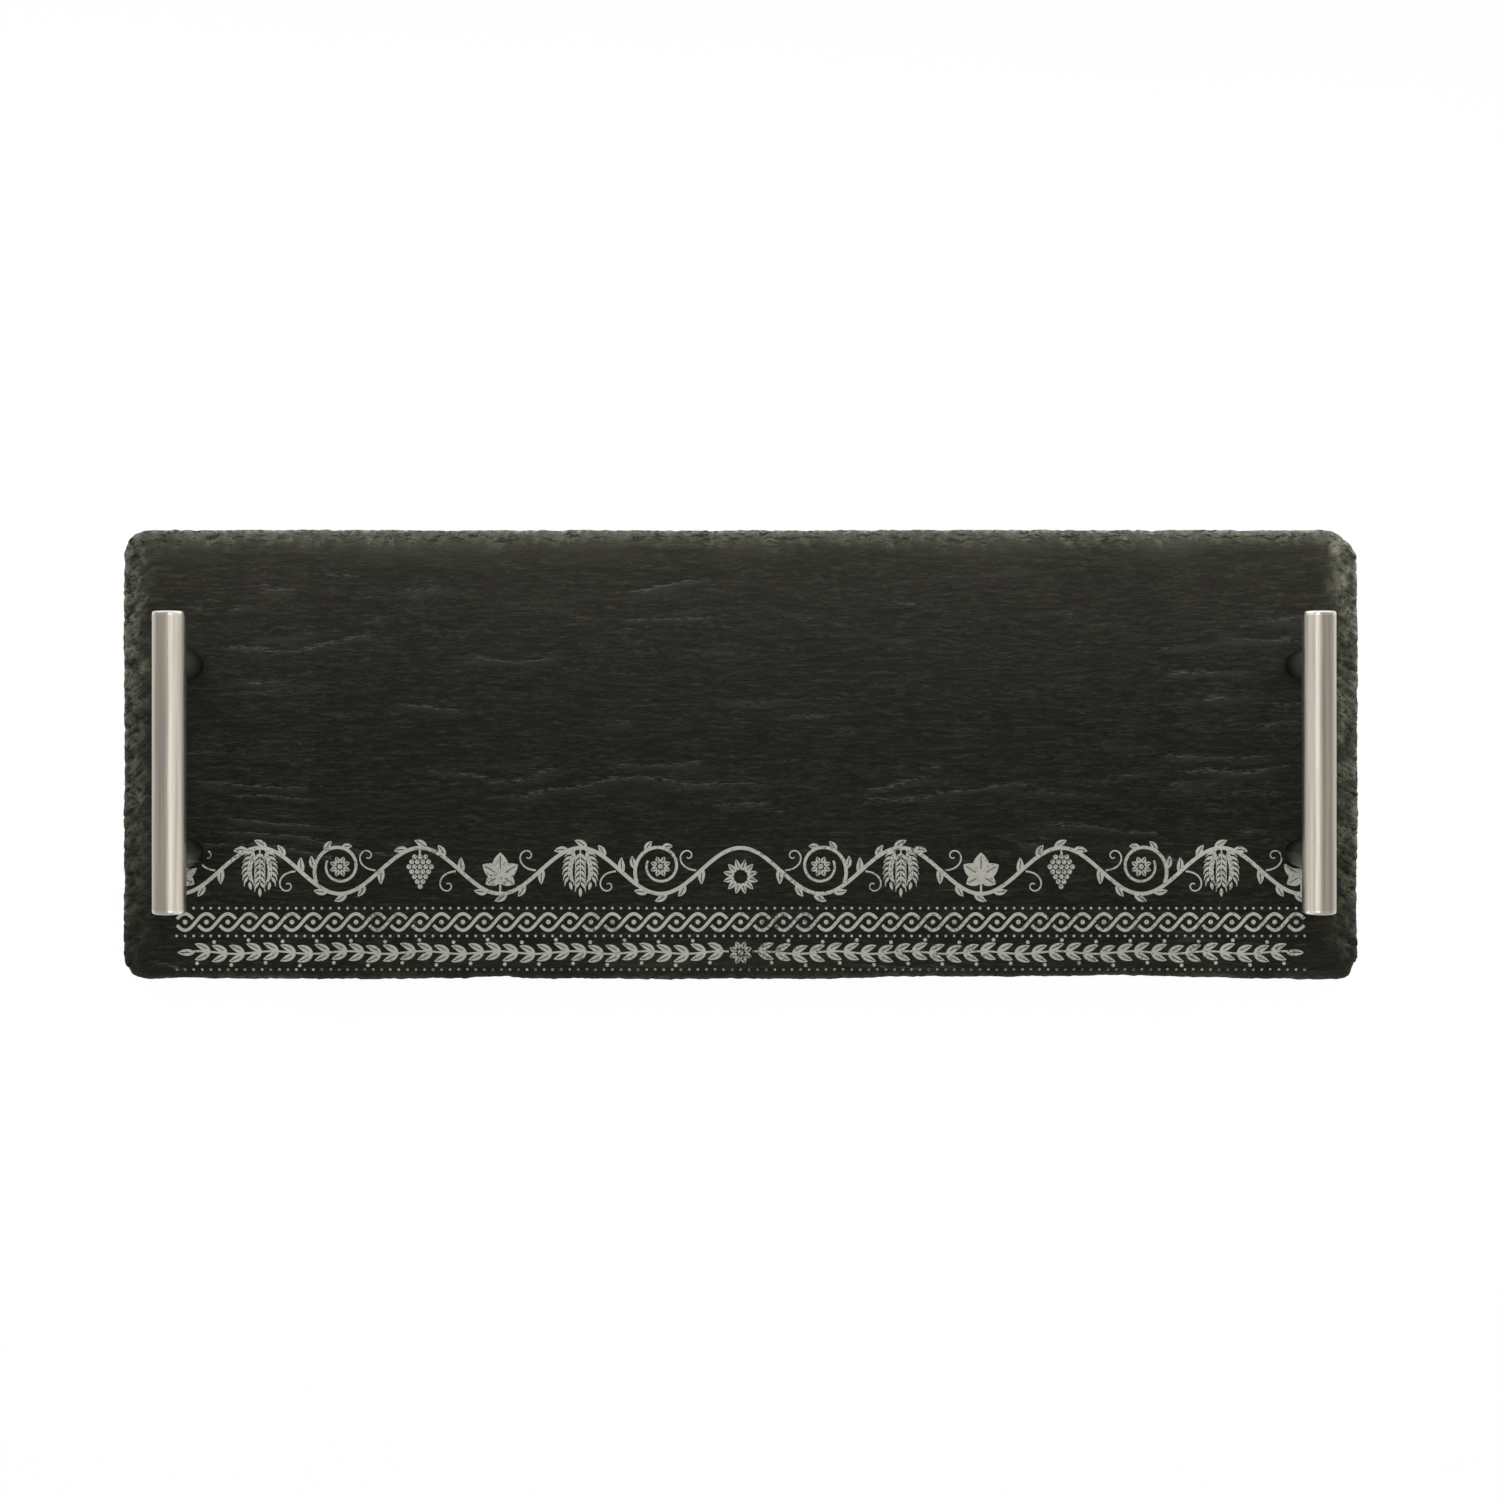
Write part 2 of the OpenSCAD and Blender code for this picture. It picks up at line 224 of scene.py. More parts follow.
    # A layer that ends towards the back gets a paler rim and a paler face behind it: partly the paler broken
    # stone, partly a painted highlight where the rim faces the lamps at the back
    rim = add(tree, "ShaderNodeMapRange", {"Value": share, "From Min": 0.8, "From Max": 0.93}).outputs[0]
    gone = add(tree, "ShaderNodeMapRange", {"Value": grain, "From Min": 0.43, "From Max": 0.57}).outputs[0]
    rim = add(tree, "ShaderNodeMath", {0: rim, 1: gone}, operation="MULTIPLY").outputs[0]
    behind = add(
        tree, "ShaderNodeMapRange", {"Value": share, "From Min": 0.45, "From Max": 0.0, "To Max": 0.22},
    ).outputs[0]
    rim = add(tree, "ShaderNodeMath", {0: rim, 1: behind}, operation="MAXIMUM").outputs[0]
    seen = add(tree, "ShaderNodeAttribute", attribute_name="rim").outputs["Fac"]
    rim = add(tree, "ShaderNodeMath", {0: rim, 1: seen}, operation="MULTIPLY").outputs[0]
    colour = add(
        tree, "ShaderNodeMix", {FACTOR: rim, FIRST: colour, SECOND: paint("#4a4945")}, data_type="RGBA",
    ).outputs[MIXED]
    return place, colour, height, grit


def slate_material():
    """Riven slate, split by hand: a dull sheen on flat layers, paler and rougher where it was chipped."""
    material, tree = new_material("riven_slate")
    place, colour, height, grit = stone_pattern(tree)
    chipped = add(tree, "ShaderNodeAttribute", attribute_name="chipped").outputs["Fac"]
    # Along the back the scars are 8 mm long beside the edge, and at the ends 4 mm long and lean inwards
    parts = add(tree, "ShaderNodeSeparateXYZ", {"Vector": place})
    mirrored = add(tree, "ShaderNodeMath", {0: parts.outputs["X"]}, operation="ABSOLUTE").outputs[0]
    half = add(tree, "ShaderNodeMath", {0: parts.outputs["X"], 1: 0.0}, operation="GREATER_THAN").outputs[0]
    shifted = add(tree, "ShaderNodeMath", {0: parts.outputs["Z"], 1: half}, operation="ADD").outputs[0]
    folded = add(
        tree, "ShaderNodeCombineXYZ", {"X": mirrored, "Y": parts.outputs["Y"], "Z": shifted},
    ).outputs[0]
    swirl = add(tree, "ShaderNodeTexNoise", {"Vector": folded, "Scale": 130.0, "Detail": 2.0})
    swirled = add(
        tree, "ShaderNodeVectorMath", {0: swirl.outputs["Color"], 1: (0.004, 0.007, 0.0), 2: folded},
        operation="MULTIPLY_ADD",
    ).outputs[0]
    back_scars, end_scars = (
        add(tree, "ShaderNodeTexNoise", {
            "Vector": add(
                tree, "ShaderNodeMapping",
                {"Vector": swirled, "Rotation": (0, 0, math.radians(turn)), "Scale": size},
                vector_type="TEXTURE",
            ).outputs[0],
            "Scale": 1.0, "Detail": 6.0, "Roughness": 0.75,
        }).outputs["Fac"]
        for turn, size in ((0, (0.008, 0.0012, 0.003)), (-32, (0.004, 0.0012, 0.003)))
    )
    at_end = add(tree, "ShaderNodeAttribute", attribute_name="at_end").outputs["Fac"]
    scars = add(
        tree, "ShaderNodeMix", {0: at_end, 2: back_scars, 3: end_scars}, data_type="FLOAT",
    ).outputs[0]
    blotches = add(
        tree, "ShaderNodeTexNoise", {"Vector": folded, "Scale": 260.0, "Detail": 5.0, "Roughness": 0.68},
    ).outputs["Fac"]
    broken = add(tree, "ShaderNodeMath", {0: blotches, 1: 0.6}, operation="MULTIPLY").outputs[0]
    broken = add(tree, "ShaderNodeMath", {0: scars, 1: 1.6, 2: broken}, operation="MULTIPLY_ADD").outputs[0]
    tone = add(
        tree, "ShaderNodeMapRange", {"Value": broken, "From Min": 0.88, "From Max": 1.62},
    ).outputs[0]
    # The rims between scars are thin and bright
    away = add(tree, "ShaderNodeMath", {0: scars, 1: 0.5}, operation="SUBTRACT").outputs[0]
    away = add(tree, "ShaderNodeMath", {0: away}, operation="ABSOLUTE").outputs[0]
    ridge = add(
        tree, "ShaderNodeMapRange", {"Value": away, "From Min": 0.03, "From Max": 0.0, "To Max": 1.3},
    ).outputs[0]
    ridge = add(tree, "ShaderNodeMath", {0: ridge, 1: blotches}, operation="MULTIPLY").outputs[0]
    tone = add(tree, "ShaderNodeMath", {0: tone, 1: ridge}, operation="ADD").outputs[0]
    # The ends are crushed into pale and dark crumbs of 2 mm and less
    crushed = add(
        tree, "ShaderNodeTexNoise", {"Vector": swirled, "Scale": 420.0, "Detail": 6.0, "Roughness": 0.8},
    ).outputs["Fac"]
    crumbs = add(
        tree, "ShaderNodeMapRange",
        {"Value": crushed, "From Min": 0.34, "From Max": 0.68, "To Min": -0.35, "To Max": 0.8},
    ).outputs[0]
    tone = add(tree, "ShaderNodeMath", {0: crumbs, 1: at_end, 2: tone}, operation="MULTIPLY_ADD").outputs[0]
    tone = add(tree, "ShaderNodeMath", {0: tone, 1: 0.0}, operation="MAXIMUM").outputs[0]
    # They lie in paler and darker patches about 8 mm across
    heap = add(
        tree, "ShaderNodeMapRange",
        {"Value": swirl.outputs["Fac"], "From Min": 0.4, "From Max": 0.6, "To Min": 0.45, "To Max": 1.2},
    ).outputs[0]
    heap = add(tree, "ShaderNodeMix", {0: at_end, 2: 1.0, 3: heap}, data_type="FLOAT").outputs[0]
    tone = add(tree, "ShaderNodeMath", {0: tone, 1: heap}, operation="MULTIPLY").outputs[0]
    # The broken stone is painted darker along the front edge and paler along the back and towards the right,
    # as painted shade and painted light, and the outermost chips are the palest, most so along the back
    bright = add(tree, "ShaderNodeAttribute", attribute_name="fresh").outputs["Fac"]
    inner = add(tree, "ShaderNodeMapRange", {"Value": at_end, "To Min": 0.5, "To Max": 0.8}).outputs[0]
    outer = add(tree, "ShaderNodeMapRange", {"Value": chipped, "To Min": inner, "To Max": 1.06}).outputs[0]
    for factor in (bright, outer):
        tone = add(tree, "ShaderNodeMath", {0: tone, 1: factor}, operation="MULTIPLY").outputs[0]
    fresh = add(
        tree, "ShaderNodeMix",
        {FACTOR: tone, FIRST: paint("#1c1c16"), SECOND: paint("#7b7b6c")}, data_type="RGBA",
    ).outputs[MIXED]
    # The lip gets a painted glint: a paler and greyer broken line, strongest along the back
    lip_glint = add(
        tree, "ShaderNodeMapRange", {"Value": crushed, "From Min": 0.45, "From Max": 0.64},
    ).outputs[0]
    lip = add(tree, "ShaderNodeAttribute", attribute_name="lip").outputs["Fac"]
    for factor in (lip, bright):
        lip_glint = add(tree, "ShaderNodeMath", {0: lip_glint, 1: factor}, operation="MULTIPLY").outputs[0]
    fresh = add(
        tree, "ShaderNodeMix", {FACTOR: lip_glint, FIRST: fresh, SECOND: paint("#a9a9a2")}, data_type="RGBA",
    ).outputs[MIXED]
    # A painted sheen: a faint grey that grows towards the back, where the back lamps' sheen falls
    pale_shift = add(
        tree, "ShaderNodeMapRange", {"Value": parts.outputs["Y"], "From Min": 0.0, "From Max": 0.085},
    ).outputs[0]
    colour = add(
        tree, "ShaderNodeMix", {FACTOR: pale_shift, FIRST: colour, SECOND: paint("#1a1915")},
        data_type="RGBA", blend_type="ADD",
    ).outputs[MIXED]
    # Dust from the blows makes it a little more olive beside the edge, and the fresh factor makes this
    # stronger towards the back and the right as painted light
    border = add(tree, "ShaderNodeAttribute", attribute_name="border").outputs["Fac"]
    dust_and_back_light = add(tree, "ShaderNodeMath", {0: border, 1: bright}, operation="MULTIPLY").outputs[0]
    colour = add(
        tree, "ShaderNodeMix", {FACTOR: dust_and_back_light, FIRST: colour, SECOND: paint("#3e3f34")}, data_type="RGBA",
    ).outputs[MIXED]
    # The break stops short at the scars' inner ends along the back, and fades out into the face at the ends
    end_border = add(tree, "ShaderNodeMath", {0: border, 1: at_end}, operation="MULTIPLY").outputs[0]
    spread = chipped
    for part, weight in ((blotches, 0.5), (end_border, 0.9)):
        spread = add(
            tree, "ShaderNodeMath", {0: part, 1: weight, 2: spread}, operation="MULTIPLY_ADD",
        ).outputs[0]
    whole = add(tree, "ShaderNodeMapRange", {"Value": at_end, "To Min": 0.8, "To Max": 1.0}).outputs[0]
    share = add(
        tree, "ShaderNodeMapRange", {"Value": spread, "From Min": 0.33, "From Max": whole},
    ).outputs[0]
    mixed = add(
        tree, "ShaderNodeMix", {FACTOR: share, FIRST: colour, SECOND: fresh}, data_type="RGBA",
    ).outputs[MIXED]
    rubble = add(tree, "ShaderNodeMath", {0: broken, 1: share}, operation="MULTIPLY").outputs[0]
    height = add(
        tree, "ShaderNodeMath", {0: rubble, 1: 0.34, 2: height}, operation="MULTIPLY_ADD",
    ).outputs[0]
    sheen = add(
        tree, "ShaderNodeMapRange",
        {"Value": grit, "From Min": 0.3, "From Max": 0.7, "To Min": 0.5, "To Max": 0.68},
    ).outputs[0]
    bump = add(tree, "ShaderNodeBump", {"Height": height, "Distance": MM, "Strength": 1.0}).outputs[0]
    shader = add(
        tree, "ShaderNodeBsdfPrincipled",
        {"Base Color": mixed, "Roughness": sheen, "Normal": bump, "Specular IOR Level": 0.12},
    )
    add(tree, "ShaderNodeOutputMaterial", {"Surface": shader.outputs[0]})
    return material


def ink_material():
    """Screen-printed enamel ink, matt and a little worn, so that the stone's high spots show through."""
    material, tree = new_material("printed_enamel_ink")
    place, stone, height, _ = stone_pattern(tree)
    speckle = add(
        tree, "ShaderNodeTexNoise", {"Vector": place, "Scale": 1100.0, "Detail": 3.0, "Roughness": 0.7},
    ).outputs["Fac"]
    cloud = add(
        tree, "ShaderNodeTexNoise", {"Vector": place, "Scale": 45.0, "Detail": 3.0},
    ).outputs["Fac"]
    # Wear comes in patches about 25 mm across
    thin = add(tree, "ShaderNodeMath", {0: cloud, 1: 0.5, 2: speckle}, operation="MULTIPLY_ADD").outputs[0]
    worn = add(
        tree, "ShaderNodeMapRange", {"Value": thin, "From Min": 0.78, "From Max": 0.98, "To Max": 0.9},
    ).outputs[0]
    pale = add(
        tree, "ShaderNodeMix",
        {FACTOR: cloud, FIRST: paint("#b4b4aa"), SECOND: paint("#c6c6bd")}, data_type="RGBA",
    ).outputs[MIXED]
    mixed = add(
        tree, "ShaderNodeMix", {FACTOR: worn, FIRST: pale, SECOND: stone}, data_type="RGBA",
    ).outputs[MIXED]
    bump = add(tree, "ShaderNodeBump", {"Height": height, "Distance": MM, "Strength": 0.7}).outputs[0]
    shader = add(
        tree, "ShaderNodeBsdfPrincipled",
        {"Base Color": mixed, "Roughness": 0.6, "Normal": bump, "Specular IOR Level": 0.2},
    )
    add(tree, "ShaderNodeOutputMaterial", {"Surface": shader.outputs[0]})
    return material


def brushed_steel_material(name, across_lines, axis, turn, dull, bright, roughness, uneven, foot=None):
    """Stainless steel brushed with 240 grit: fine lines, and a broad soft highlight across them.

    foot is the height range in metres, if any, over which a painted dark reflection at the post's foot fades
    into plain steel.
    It is painted shade that stands in for the stone that a real post mirrors when seen from above.
    """
    material, tree = new_material(name)
    place = add(tree, "ShaderNodeTexCoord").outputs["Object"]
    # Real lines lie 0.1 mm apart, too fine to show, so these are 0.3 mm and 1.1 mm apart
    fine, coarse = (
        add(tree, "ShaderNodeMapping",
            {"Vector": place, "Scale": [across if letter in across_lines else length for letter in "XYZ"]})
        for across, length in ((3300, 55), (900, 15))
    )
    scratches = add(
        tree, "ShaderNodeTexNoise", {"Vector": fine.outputs[0], "Scale": 1.0, "Detail": 2.0},
    ).outputs["Fac"]
    bands = add(
        tree, "ShaderNodeTexNoise", {"Vector": coarse.outputs[0], "Scale": 1.0, "Detail": 3.0},
    ).outputs["Fac"]
    both = add(tree, "ShaderNodeMath", {0: scratches, 1: bands}, operation="ADD").outputs[0]
    rough = add(
        tree, "ShaderNodeMapRange",
        {"Value": both, "From Min": 0.7, "From Max": 1.3, "To Min": roughness[0], "To Max": roughness[1]},
    ).outputs[0]
    tone = add(tree, "ShaderNodeMapRange", {"Value": bands, "From Min": 0.3, "From Max": 0.7}).outputs[0]
    colour = add(
        tree, "ShaderNodeMix",
        {FACTOR: tone, FIRST: paint(dull), SECOND: paint(bright)}, data_type="RGBA",
    ).outputs[MIXED]
    # Painted reflection: the post darkens towards its foot, for the dark stone that it mirrors
    if foot:
        high = add(tree, "ShaderNodeSeparateXYZ", {"Vector": place}).outputs["Z"]
        clear_of_foot_shade = add(
            tree, "ShaderNodeMapRange", {"Value": high, "From Min": foot[0], "From Max": foot[1]},
            interpolation_type="SMOOTHSTEP",
        ).outputs[0]
        colour = add(
            tree, "ShaderNodeMix", {FACTOR: clear_of_foot_shade, FIRST: paint("#403f3c"), SECOND: colour}, data_type="RGBA",
        ).outputs[MIXED]
    # The lines spread the light at right angles to them
    across = add(tree, "ShaderNodeTangent", direction_type="RADIAL", axis=axis).outputs[0]
    bump = add(
        tree, "ShaderNodeBump", {"Height": scratches, "Distance": 0.03 * MM, "Strength": 0.6},
    ).outputs[0]
    shader = add(
        tree, "ShaderNodeBsdfPrincipled",
        {"Base Color": colour, "Metallic": 1.0, "Roughness": rough, "Anisotropic": uneven,
         "Anisotropic Rotation": turn, "Tangent": across, "Normal": bump},
    )
    add(tree, "ShaderNodeOutputMaterial", {"Surface": shader.outputs[0]})
    return material


def plain_steel_material():
    """Cold-headed stainless fixings, washed but not polished: an even grey with a soft gloss."""
    material, tree = new_material("fixing_steel")
    place = add(tree, "ShaderNodeTexCoord").outputs["Object"]
    stain = add(tree, "ShaderNodeTexNoise", {"Vector": place, "Scale": 900.0, "Detail": 3.0})
    rough = add(
        tree, "ShaderNodeMapRange", {"Value": stain.outputs["Fac"], "To Min": 0.24, "To Max": 0.44},
    )
    colour = add(
        tree, "ShaderNodeMix",
        {FACTOR: stain.outputs["Fac"], FIRST: paint("#a9a8a6"), SECOND: paint("#c8c7c4")},
        data_type="RGBA",
    )
    shader = add(
        tree, "ShaderNodeBsdfPrincipled",
        {"Base Color": colour.outputs[MIXED], "Metallic": 1.0, "Roughness": rough.outputs[0]},
    )
    add(tree, "ShaderNodeOutputMaterial", {"Surface": shader.outputs[0]})
    return material


def rubber_material():
    """Moulded nitrile rubber: nearly black, with a fine matt skin and a dusty bloom."""
    material, tree = new_material("moulded_rubber")
    place = add(tree, "ShaderNodeTexCoord").outputs["Object"]
    skin = add(tree, "ShaderNodeTexNoise", {"Vector": place, "Scale": 1800.0, "Detail": 2.0})
    pale_shift = add(tree, "ShaderNodeTexNoise", {"Vector": place, "Scale": 220.0, "Detail": 3.0})
    colour = add(
        tree, "ShaderNodeMix",
        {FACTOR: pale_shift.outputs["Fac"], FIRST: paint("#161615"), SECOND: paint("#2a2a29")},
        data_type="RGBA",
    )
    bump = add(
        tree, "ShaderNodeBump", {"Height": skin.outputs["Fac"], "Distance": 0.06 * MM, "Strength": 0.6},
    )
    shader = add(
        tree, "ShaderNodeBsdfPrincipled",
        {"Base Color": colour.outputs[MIXED], "Roughness": 0.78, "Normal": bump.outputs[0]},
    )
    add(tree, "ShaderNodeOutputMaterial", {"Surface": shader.outputs[0]})
    return material


# The stone's surface, in millimetres

# Cells of a random lattice before it repeats
LATTICE = 97


def smooth_step(t):
    """0 up to t = 0, 1 from t = 1, and a soft slope between them."""
    t = np.clip(t, 0, 1)
    return t * t * (3 - 2 * t)


def lattice_noise(x, y, cell_x, cell_y, seed):
    """Smooth random heights from -1 to 1, one for each cell of a lattice and blended between them."""
    table = np.random.default_rng(seed).uniform(-1, 1, (LATTICE, LATTICE))
    across, up = x / cell_x, y / cell_y
    i, j = np.floor(across).astype(int), np.floor(up).astype(int)
    u, v = smooth_step(across - i), smooth_step(up - j)

    def corner(di, dj):
        return table[(i + di) % LATTICE, (j + dj) % LATTICE]

    low = corner(0, 0) * (1 - u) + corner(1, 0) * u
    high = corner(0, 1) * (1 - u) + corner(1, 1) * u
    return low * (1 - v) + high * v


def ring_noise(s, around, cell, seed):
    """Smooth random heights from -1 to 1 along a closed line of length around."""
    count = max(3, round(around / cell))
    table = np.random.default_rng(seed).uniform(-1, 1, count)
    place = np.asarray(s) / around * count
    i = np.floor(place).astype(int)
    u = smooth_step(place - i)
    return table[i % count] * (1 - u) + table[(i + 1) % count] * u


# Height of the broad swells, of a ledge where a layer ends, and of the fine ridges along the board
SWELL_H, LEDGE_H, RIDGE_H = 0.1, 0.12, 0.05
# Layers that end between the middle and the top of a broad swell
LEVELS = 1.9
# Seeds of the random draws on the upper face and the underside
TOP_SEED, UNDER_SEED = 1, 51


def cleavage(x, y, seed):
    """Level of the cleaved layers at each point, and the y that their bends give it."""
    bent = y + 2.0 * lattice_noise(x, y, 60, 26, seed) + 0.5 * lattice_noise(x, y, 19, 9, seed + 1)
    # Swells about 95 by 19 mm, with smaller ones on them
    level = lattice_noise(x, bent, 95, 19, seed + 2)
    for share, length, width, step in ((0.45, 44, 8, 3), (0.16, 21, 3.6, 4)):
        level = level + share * lattice_noise(x, bent, length, width, seed + step)
    return LEVELS * level, bent


def riven(x, y, seed):
    """Height of the cleaved layers over the stone's mean face: waves, thin ledges and ridges."""
    level, bent = cleavage(x, y, seed)
    share = level - np.floor(level)
    ledge = smooth_step((share - 0.72) / 0.28) - share
    ridges = lattice_noise(x, bent, 14, 2.2, seed + 5)
    return SWELL_H / LEVELS * level + LEDGE_H * ledge + RIDGE_H * ridges


def stone_marks(x, y):
    """What the stone's pattern needs at each point: its level, and how strongly a rim that faces the back is
    painted paler, as painted highlight.
    """
    level = cleavage(x, y, TOP_SEED)[0]
    fall = cleavage(x, y - 0.4, TOP_SEED)[0] - cleavage(x, y + 0.4, TOP_SEED)[0]
    # A rim is painted paler, partly as a painted highlight from the back lamps, where a layer ends towards
    # the back, in patches of 30 by 12 mm
    plain = smooth_step(3 * lattice_noise(x, y, 30, 12, 81) + 0.1)
    return {"level": level, "rim": smooth_step(fall / 0.1) * plain}


# The level seats of posts, washers and feet run out into the riven face over this width
SEAT_BLEND = 4.0


def level_near(x, y, places, flat_r):
    """0 on the seats of the posts, washers or feet, rising to 1 a little way off."""
    free = np.ones_like(x)
    for place in places:
        away = np.hypot(x - place[0], y - place[1])
        free = np.minimum(free, smooth_step((away - flat_r) / SEAT_BLEND))
    return free


# Outline

# Distance between the outline's points
OUTLINE_STEP = 0.6


def vertices_mm(mesh):
    """A mesh's points in millimetres."""
    places = np.empty(len(mesh.vertices) * 3)
    mesh.vertices.foreach_get("co", places)
    return places.reshape(-1, 3) / MM


def clear_of_posts(points, radius):
    """Those of the points that lie further than this from the middle of every post."""
    for place in post_places:
        points = points[np.hypot(*(points - place).T) > radius]
    return points


def point_tree(points):
    """A search tree over points in the plane."""
    tree = KDTree(len(points))
    for index, (x, y) in enumerate(points.tolist()):
        tree.insert((x, y, 0), index)
    tree.balance()
    return tree


def distances(tree, points):
    """Distance from each point to the tree's nearest one."""
    return np.array([tree.find((x, y, 0))[2] for x, y in points.tolist()])


def smoothed(values, times):
    """Values along a closed line, averaged with their neighbours again and again."""
    for _ in range(times):
        values = (np.roll(values, 1, 0) + 2 * values + np.roll(values, -1, 0)) / 4
    return values


def cad_rings():
    """The plate's outline at its lip, the lip's height, and the upper line of the slope, from the frame."""
    places = vertices_mm(nodes["slate_plate"].data)
    levels = np.unique(places[:, 2].round(2))
    rings = []
    for level in (levels[2], levels[4]):
        ring = clear_of_posts(places[np.abs(places[:, 2] - level) < 0.01][:, :2], 2 * HOLE_R)
        ring = np.unique(ring.round(3), axis=0)
        offset = ring - plate_middle
        rings.append(ring[np.argsort(np.arctan2(offset[:, 1], offset[:, 0]))])
    return rings[0], levels[2], rings[1]


def resampled(ring, step):
    """The closed line through the ring's points, at even steps, with its normals and lengths along it."""
    closed = np.vstack([ring, ring[:1]])
    along = np.concatenate([[0], np.cumsum(np.hypot(*np.diff(closed, axis=0).T))])
    count = round(along[-1] / step)
    s = np.arange(count) * along[-1] / count
    line = smoothed(np.stack([np.interp(s, along, closed[:, 0]), np.interp(s, along, closed[:, 1])], 1), 3)
    run = np.roll(line, -1, 0) - np.roll(line, 1, 0)
    run /= np.hypot(*run.T)[:, None]
    return line, np.stack([run[:, 1], -run[:, 0]], 1), s, along[-1]


cad_outline, lip_z, upper_line = cad_rings()
base_line, outward, along_edge, girth = resampled(cad_outline, OUTLINE_STEP)
# Small bites out of the outline, and here and there a deep one
ragged = 0
for bite, cell, seed in ((0.13, 6.0, 11), (0.13, 2.2, 12), (0.1, 1.3, 14)):
    ragged = ragged + bite * ring_noise(along_edge, girth, cell, seed)
ragged = ragged + 0.7 * np.clip(ring_noise(along_edge, girth, 9.0, 13) - 0.65, 0, 1) - 0.04
outline = base_line - ragged[:, None] * outward
outline_tree = point_tree(outline)
# Width of the chipped slope at each point of the outline
slope_w = smoothed(distances(point_tree(upper_line), outline), 12)


def edge_depth(x, y):
    """Distance of each point from the outline, below zero outside it, and the outline's nearest point."""
    depth = np.empty(len(x))
    at = np.empty(len(x), int)
    for i, place in enumerate(zip(x.tolist(), y.tolist())):
        _, at[i], depth[i] = outline_tree.find((*place, 0))
    offset = np.stack([x, y], 1) - outline[at]
    return np.where((offset * outward[at]).sum(1) < 0, depth, -depth), at


FLAKE_SEED = 21


def make_flakes():
    """Scars of the blows that dressed the edge: place, outward way, lean, length, half width, lip height."""
    rng = np.random.default_rng(FLAKE_SEED)
    flakes = []
    s = 0.0
    while s < girth:
        i = int(s / girth * len(outline)) % len(outline)
        x_side = np.sign(outline[i, 0])
        at_end = abs(outward[i, 0]) > 0.7
        # Scars at the ends are narrower and lean to the back, and the others lean outwards to the front
        lean = (0.7 if at_end else -0.35) * x_side
        length = slope_w[i] * rng.uniform(0.75, 1.2)
        half = rng.uniform(1.6, 3.6) if at_end else rng.uniform(2.8, 6.5)
        lip = slate_bottom + (lip_z - slate_bottom) * rng.uniform(0.75, 1.2)
        flakes.append((*outline[i], *outward[i], lean * rng.uniform(0.4, 1.3), length, half, lip))
        # Each scar runs into the one before
        s += half * rng.uniform(0.9, 1.7)
    return flakes


# Widths of the dusty border beside the edge and of the lip, which gets a painted glint
BORDER, LIP_W = 17, 1.8


def top_surface(x, y):
    """Height of the plate's upper side at each point, and the marks that its edge leaves there."""
    seats = level_near(x, y, post_places, post_r + 0.4)
    face = slate_top + riven(x, y, TOP_SEED) * seats
    half_l, half_w = (plate_high - plate_low)[:2] / 2
    near = np.flatnonzero(
        (np.abs(x - plate_middle[0]) > half_l - BORDER) | (np.abs(y - plate_middle[1]) > half_w - BORDER)
    )
    px, py = x[near], y[near]
    depth, at = edge_depth(px, py)
    # Crumbs of 2.4 and 1.2 mm
    rough = 0.10 * lattice_noise(px, py, 2.4, 2.4, 31) + 0.06 * lattice_noise(px, py, 1.2, 1.2, 32)
    share = np.clip(depth / slope_w[at], 0, 3)
    # The slope between the scars, a little over the lip of the frame's plate
    slope = lip_z + 0.4 + (slate_top - lip_z) * share ** 0.85 + rough
    lowest = np.minimum(face[near], slope)
    for fx, fy, nx, ny, lean, length, half, lip in make_flakes():
        dx, dy = px - fx, py - fy
        close = np.flatnonzero(np.abs(dx) + np.abs(dy) < 3.2 * length)
        inward = -(dx[close] * nx + dy[close] * ny)
        aside = dy[close] * nx - dx[close] * ny - lean * inward
        share = np.hypot(inward / length, aside / half)
        scar = lip + (slate_top - lip) * share ** 1.1 + rough[close]
        lowest[close] = np.minimum(lowest[close], scar)
    height = face.copy()
    height[near] = np.minimum(lowest, face[near])
    marks = {"chipped": np.clip((face - height) / (slate_top - lip_z), 0, 1)}
    marks["border"], marks["at_end"], marks["lip"] = np.zeros((3, len(x)))
    patches = 0.65 + 0.5 * lattice_noise(px, py, 26, 11, 33)
    marks["border"][near] = patches * smooth_step(1 - depth / BORDER)
    marks["at_end"][near] = np.abs(outward[at, 0])
    marks["lip"][near] = smooth_step(1 - depth / LIP_W)
    return height, marks


def under_surface(x, y):
    """Height of the plate's underside, level at the washers and feet."""
    seats = np.minimum(
        level_near(x, y, post_places, washer_r + 0.5),
        level_near(x, y, foot_places, foot_r + 0.5),
    )
    return slate_bottom + np.abs(riven(x, y, UNDER_SEED)) * seats


def break_light_and_patches(x, y):
    """How pale the broken stone is painted at each point, from 0 to 1, mostly as painted light and shade."""
    # Painted shade along the front edge and painted light along the back, more so to the right, with random
    # patches of 16 mm
    along = x / (plate_high - plate_low)[0]
    patches = 0.14 * lattice_noise(x, y, 16, 16, 91)
    return 0.3 + 0.52 * smooth_step((y + 78) / 70) + 0.26 * along * smooth_step((y + 90) / 60) + patches


# Printed ornament, as flat shapes in millimetres from the plate's middle line

# Lines that the rows of ornament run on, and the vine's wave
VINE_Y, BRAID_Y, LAUREL_Y = -42.0, -61.2, -72.6
DOTS_Y = (-56.0, -66.4, -79.0)
HOLLOW, SWING, HOLLOWS = 30.0, 8.6, 7
LEAF_POINTS = 8


